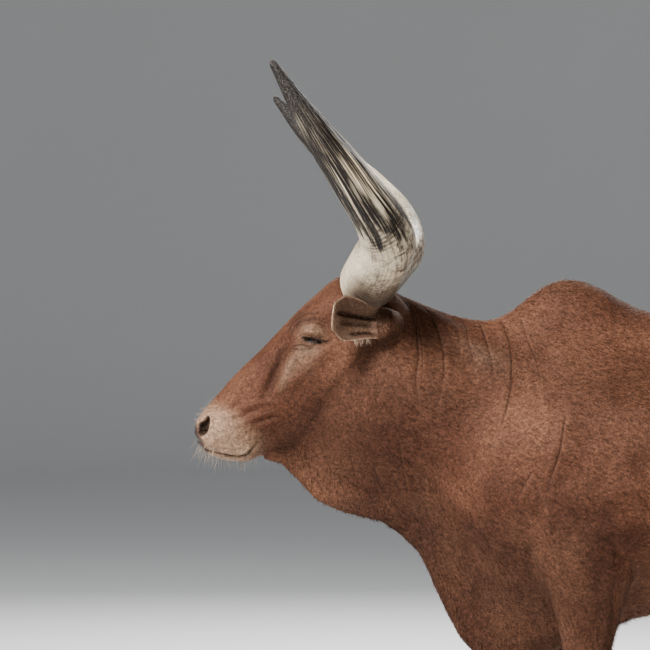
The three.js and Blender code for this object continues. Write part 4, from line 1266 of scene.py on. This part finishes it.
class Surface:
    """Draws places on a mesh, with their normals."""
    def __init__(self, mesh):
        mesh.calc_loop_triangles()
        self.tri = read(mesh.loop_triangles, "vertices", np.int32, 3)
        self.p = points_of(mesh)
        self.n = normals_of(mesh)
        a, b, c = (self.p[self.tri[:, k]] for k in range(3))
        self.area = np.linalg.norm(np.cross(b - a, c - a), axis=1) / 2
        self.centre = (a + b + c) / 3
        self.normal = self.n[self.tri].mean(1)

    def draw(self, count, density, seed):
        """Count places, most where the density given for each triangle is high."""
        rng = np.random.default_rng(seed)
        weight = self.area * np.clip(density, 0, None)
        chosen = rng.choice(len(weight), count, p=weight / weight.sum())
        u, v = rng.random((2, count))
        flip = u + v > 1
        u, v = np.where(flip, 1 - u, u), np.where(flip, 1 - v, v)
        parts = np.stack([1 - u - v, u, v], 1)[..., None]
        return (self.p[self.tri[chosen]] * parts).sum(1), unit((self.n[self.tri[chosen]] * parts).sum(1)), rng


def coat_density(p):
    """How thick the short coat stands: none on lips, nostrils, eyes and hooves, thin on the nose."""
    s, h, _ = in_face(p)
    pad = ease(470, 500, s) * (p[:, 0] < 0)
    clear = np.where((s > 420) & (h > -90), ease(0, 4, nostril_distance(p)), 1)
    lips = np.where((s > 390) & (h < -60), ease(2, 5, mouth_distance(p)[0]), 1)
    return (1 - 0.98 * pad) * clear * lips * ease(22, 26, from_eye(p)) * ease(CORONET, CORONET + 20, p[:, 2])


def make_short_coat(surface, material):
    """Short tufts that lie flat all over, finest on the face and feet."""
    x, z = surface.centre[:, 0], surface.centre[:, 2]
    coat = coat_density(surface.centre)
    body = coat * ease(40, 160, x)
    shown = body * ease(1000, 800, x) * (0.3 + 0.7 * ease(600, 800, z))
    face = coat * ease(190, 120, x) * (z > 980)
    plans = [(f"coat_body_{k}", body, 37000, 14, 1.95) for k in range(3)]
    plans += [(f"coat_front_{k}", shown, 37000, 11, 1.4) for k in range(2)]
    plans += [("coat_face_0", face, 45000, 6.5, 0.9)]
    for number, (name, density, count, length, width) in enumerate(plans):
        p, n, rng = surface.draw(count, density, 100 + number)
        way = lie_of(p, n)
        gap = np.where(p[:, 0] < 110, 1.9, 1.2)
        clear = np.ones(count, bool)
        for part in (0.0, 0.35, 0.7):
            clear &= near_lines(p + part * length * way)[0] > gap
        clear |= np.abs(p[:, 1]) < 25
        p, n, way = p[clear], n[clear], way[clear]
        count = len(p)
        tilt = rng.uniform(0.10, 0.20, count)[:, None]
        way = unit(way + tilt * n + 0.10 * rng.normal(size=(count, 3)))
        size = rng.uniform(0.7, 1.3, count) * (0.55 + 0.45 * ease(150, 500, p[:, 2]))
        lit = unit(n + 0.22 * rng.normal(size=(count, 3)))
        strands(name, p - 0.3 * n, way, n, length * size, width * size, material, thick=0.25, shade=lit)


def hair(name, roots, n, way, rng, length, width, material, sag=0.2, rings=4, spread=0.2):
    """Longer hairs from their roots, each bent down by its own weight."""
    count = len(roots)
    way = unit(way + spread * rng.normal(size=(count, 3)))
    long = length * rng.uniform(0.55, 1.25, count)
    bend = np.stack([0 * long, 0 * long, -sag * long], 1) + 0.08 * long[:, None] * rng.normal(size=(count, 3))
    thick = np.full(count, width) * rng.uniform(0.7, 1.2, count)
    return strands(name, roots - 0.8 * n, way, n, long, thick, material, rings=rings, bend=bend)


def make_long_hair(surface, materials):
    """Hair that stands clear of the short coat: whiskers, jaw, dewlap, crest, belly, sheath and legs."""
    parts = s, h, y = in_face(surface.centre)
    x, z = surface.centre[:, 0], surface.centre[:, 2]
    nx, nz = surface.normal[:, 0], surface.normal[:, 2]
    coat, pale, black = materials["tuft"], materials["whisker"], materials["switch"]
    lip = blob(parts, (512, -66, 45), (34, 26, 40)) * (nostril_distance(surface.centre) > 3)
    nose = blob(parts, (455, 4, 20), (50, 16, 40))
    chin = (s > 428) & (s < 520) & (z < 1045) & (z > 990) & (nz < 0.1)
    jaw = (s > 150) & (s < 430) & (h < -120) & (nz < -0.35) & (z > 930)
    dewlap = (y < 30) & (x > -120) & (x < 470) & (nz < -0.1) & (nx < 0.5)
    crest = (y < 45) & (x > 130) & (x < 760) & (nz > 0.6)
    belly = (x > 600) & (x < 1560) & (nz < -0.75) & (z > 480) & (z < 700)
    sheath = bell((x - 1085) / 24) * (z < 600) * (nz < 0.1) * (y < 40)
    shank = (z < 620) & (z > 130) & (nx > 0.55)
    coronet = (z < CORONET + 34) & (z > CORONET + 4)
    dock = (x > 1990) * ease(1150, 700, z)
    # name, density, count, length, width, material, spread, part of the normal, way, sag and rings
    plans = (
        ("whisker_lip", lip, 56, 40, 0.6, pale, 0.375, 1.0, (-0.1, 0, -0.7), 0.4, 4),
        ("whisker_nose", nose, 60, 16, 0.7, pale, 0.35, 1.0, (-0.3, 0, 0.3), 0.1, 3),
        ("whisker_chin", chin, 110, 27, 0.55, pale, 0.3, 0.6, (0.05, 0, -1.0), 0.25, 4),
        ("hair_jaw", jaw, 1600, 8, 1.0, coat, 0.15, 0.35, (0.5, 0, -0.6), 0.1, 2),
        ("hair_dewlap", dewlap, 2600, 10, 1.2, coat, 0.15, 0.3, (0.3, 0, -0.9), 0.1, 2),
        ("hair_crest", crest, 1800, 7, 1.1, coat, 0.125, 0.2, (0.9, 0, -0.05), 0.05, 2),
        ("hair_belly", belly, 3000, 15, 1.6, coat, 0.15, 0.15, (0.9, 0, -0.3), 0.05, 2),
        ("hair_sheath", sheath, 420, 55, 1.3, coat, 0.125, 0.3, (-0.15, 0, -1.0), 0.1, 4),
        ("hair_shank", shank, 4200, 12, 1.3, coat, 0.125, 0.25, (0.3, 0, -1.0), 0.1, 2),
        ("hair_coronet", coronet, 3200, 14, 1.3, coat, 0.11, 0.2, (0.0, 0, -1.0), 0.05, 2),
        ("hair_dock", dock, 3000, 28, 1.5, black, 0.06, 0.18, (0.0, 0, -1.0), 0.05, 2),
    )
    for number, plan in enumerate(plans):
        name, density, count, length, width, material, spread, out, way, sag, rings = plan
        p, n, rng = surface.draw(count, density, 300 + number)
        hair(name, p, n, out * n + np.array(way), rng, length, width, material, sag, rings, spread)


def make_ear_hair(word, side, materials):
    """A fringe under the ear, hairs across its hollow and soft fur round its root and rim."""
    rng = np.random.default_rng(60 + side)
    _, _, axis, up, open_way = ear_frame(side)
    # name, count, face, span along and across the ear, length, width, way, sag, material, rings, spread
    rows = (
        ("fringe", 40, 1, (0.38, 0.64), (-1.0, -0.92), 19, 0.8, (0.1, -1.0, 0.45), 0.25, "whisker", 4, 0.34),
        ("hollow", 300, 1, (0.24, 0.55), (-0.85, 0.85), 14, 0.7, (0.9, -0.1, 0.45), 0.2, "whisker", 4, 0.16),
        ("upper", 90, 1, (0.30, 0.95), (0.86, 1.0), 8, 0.7, (0.6, 0.3, 0.5), 0.1, "whisker", 4, 0.16),
        ("root", 2200, 1, (-0.02, 0.26), (-1.0, 1.0), 8, 1.0, (0.9, -0.25, 0.16), 0.15, "tuft", 2, 0.2),
        ("back", 2600, -1, (-0.02, 0.97), (-1.0, 1.0), 8, 1.1, (0.95, -0.2, -0.16), 0.1, "tuft", 2, 0.2),
    )
    for name, count, face, span, edge, length, width, way, sag, material, rings, spread in rows:
        t = rng.uniform(*span, count)
        p = ear_surface(side, t, rng.uniform(*edge, count), face)
        n = np.broadcast_to(open_way * face, p.shape)
        way = np.broadcast_to(np.array(way) @ np.stack([axis, up, open_way]), p.shape)
        hair(f"ear_{name}_{word}", p, n, way, rng, length, width, materials[material], sag, rings, spread)


def make_lashes(word, side, material):
    """A row of dark lashes along the upper lid."""
    rng = np.random.default_rng(80 + side)
    across = np.linspace(-0.95, 1.0, 120)
    rise = 0.26 * np.sqrt(np.clip(1 - (across / LID_REACH) ** 2, 0, 1)) + 0.02
    cos, sin = math.cos(LID_SLOPE), math.sin(LID_SLOPE)
    back = np.sin(across) * np.cos(rise)
    up = np.sin(rise)
    x = back * cos + up * sin
    z = up * cos - back * sin
    d = np.stack([x, np.sqrt(np.clip(1 - x**2 - z**2, 0, 1)) * side, z], 1)
    root = EYE_POINT[side] + d * (EYE["radius"] + 3.2)
    hair(f"lashes_{word}", root, d, d * 0.8 + np.array([0.1, 0, -0.55]), rng, 13, 0.7, material, -0.1, 5, 0.1)


def make_switch(material):
    """Long fine locks round the end of the tail, from the bone's last hand's breadth down."""
    rng = np.random.default_rng(17)
    count = 1500
    turn = rng.uniform(0, 2 * math.pi, count)
    start = rng.uniform(0, 1, count)
    z = TAIL_BONE_END + 60 - 175 * start
    inner = np.interp(start, [0, 0.35, 0.8, 1], [15, 18, 20, 10])
    out = np.stack([np.cos(turn), np.sin(turn), 0 * turn], 1)
    root = out * inner[:, None] + np.stack([TAIL_X + 0 * z, 0 * z, z], 1)
    length = (z - SWITCH_TIP) * rng.uniform(0.45, 1.0, count)
    way = out * rng.uniform(0.05, 0.22, count)[:, None] + np.array([0, 0, -1.0])
    way = unit(way + 0.04 * rng.normal(size=(count, 3)))
    bend = -out * (length * rng.uniform(0.02, 0.14, count))[:, None]
    width = rng.uniform(1.6, 3.4, count)
    made = strands("switch_hair", root, way, out, length, width, material, rings=8, bend=bend)
    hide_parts("tail_switch")


def main_pieces():
    """The bull: its skin, horns, eyes, ears and feet, and then the hair that grows on the skin."""
    materials = {
        "coat": coat_material("coat"),
        "tuft": coat_material("tuft", tuft=True),
        "horn": horn_material(),
        "hoof": hoof_material(),
        "eye": eye_material(),
    }
    switch = (rgb(0.012, 0.008, 0.006), rgb(0.060, 0.036, 0.026))
    whisker = (rgb(0.17, 0.12, 0.085), rgb(0.42, 0.33, 0.25))
    materials["switch"] = toned_material("tail_hair", switch, (60, 60, 14), 2.0, 0.5, 0.4)
    materials["whisker"] = toned_material("whisker", whisker, (60, 60, 14), 2.0, 0.5, 0.4)
    skin = make_skin(materials["coat"])
    for word, side in (("left", -1), ("right", 1)):
        make_horn(word, materials["horn"])
        make_eye(word, side, materials["eye"])
        make_ear(word, side, materials["coat"])
        make_ear_hair(word, side, materials)
        make_lashes(word, side, materials["switch"])
    for leg in LEGS:
        side = -1 if leg.endswith("left") else 1
        for word, half in (("inner", -side), ("outer", side)):
            make_claw(leg, word, half, materials["hoof"])
            make_dewclaw(leg, word, materials["hoof"])
    surface = Surface(skin.data)
    make_short_coat(surface, materials["tuft"])
    make_long_hair(surface, materials)
    make_switch(materials["switch"])


# Stage, light and camera, in metres

def make_stage():
    """A round pale floor that rises all about into a wall, so that every view has the same ground."""
    flat, curve, height, sides = 20.0, 7.0, 11.0, 96
    bends = np.linspace(0, math.pi / 2, 16)[1:]
    profile = [(8.0, 0.0), (flat, 0.0)]
    profile += [(flat + curve * math.sin(a), curve * (1 - math.cos(a))) for a in bends]
    profile += [(flat + curve, height)]
    turn = np.linspace(0, 2 * math.pi, sides, endpoint=False)
    verts = [(r * math.cos(a), r * math.sin(a), z) for r, z in profile for a in turn] + [(0, 0, 0)]
    steps = [(k, (k + 1) % sides) for k in range(sides)]
    faces = []
    for ring in range(0, sides * (len(profile) - 1), sides):
        faces += [(ring + a, ring + a + sides, ring + b + sides, ring + b) for a, b in steps]
    faces += [(len(verts) - 1, a, b) for a, b in steps]
    mesh = bpy.data.meshes.new("floor")
    mesh.from_pydata(verts, [], faces)
    mesh.shade_smooth()
    tones = (rgb(0.7332, 0.7332, 0.7238), rgb(0.78, 0.78, 0.77))
    mesh.materials.append(toned_material("studio", tones, (1, 1, 1), 0.2, 0.8, 0.5))
    linked("floor", mesh)


# name, place, target, size and power
LIGHTS = (
    ("key", (-2.35, -4.7, 5.0), (-0.75, 0, 1.3), (1.5, 1.5), 760),
    ("rim", (2.8, 3.4, 4.6), (-0.2, 0, 1.4), (1.6, 1.2), 240),
    ("front", (-5.0, -1.7, 4.7), (-0.9, 0, 1.3), (1.2, 1.2), 400),
    ("far_side", (-0.6, 5.6, 4.0), (-0.2, 0, 1.0), (2.0, 1.6), 190),
)


def make_lights():
    """The lamps and the soft light of the sky."""
    for name, place, target, size, power in LIGHTS:
        light = bpy.data.lights.new(name, "AREA")
        light.shape = "RECTANGLE"
        light.size, light.size_y = size
        light.energy = power
        lamp = linked(name, light)
        lamp.rotation_euler = (Vector(target) - Vector(place)).to_track_quat("-Z", "Y").to_euler()
        lamp.location = place
    world = bpy.data.worlds.new("studio")
    world.use_nodes = True
    sky = world.node_tree.nodes["Background"].inputs
    sky["Color"].default_value = rgb(0.93, 0.95, 1.0)
    sky["Strength"].default_value = 0.23
    bpy.context.scene.world = world


def make_camera():
    data = bpy.data.cameras.new("camera")
    data.sensor_width = SENSOR
    data.lens = SENSOR * PHOTO_SCALE * CAMERA_DISTANCE / (2 * PHOTO_CENTRE)
    camera = linked("camera", data)
    camera.location = (ZERO_X / 1000, -CAMERA_DISTANCE, CAMERA_HEIGHT)
    camera.rotation_euler = (math.pi / 2, 0, 0)
    scene = bpy.context.scene
    scene.camera = camera
    scene.view_settings.view_transform = "AgX"
    scene.view_settings.look = "AgX - Medium High Contrast"


make_camera()
make_stage()
make_lights()
main_pieces()
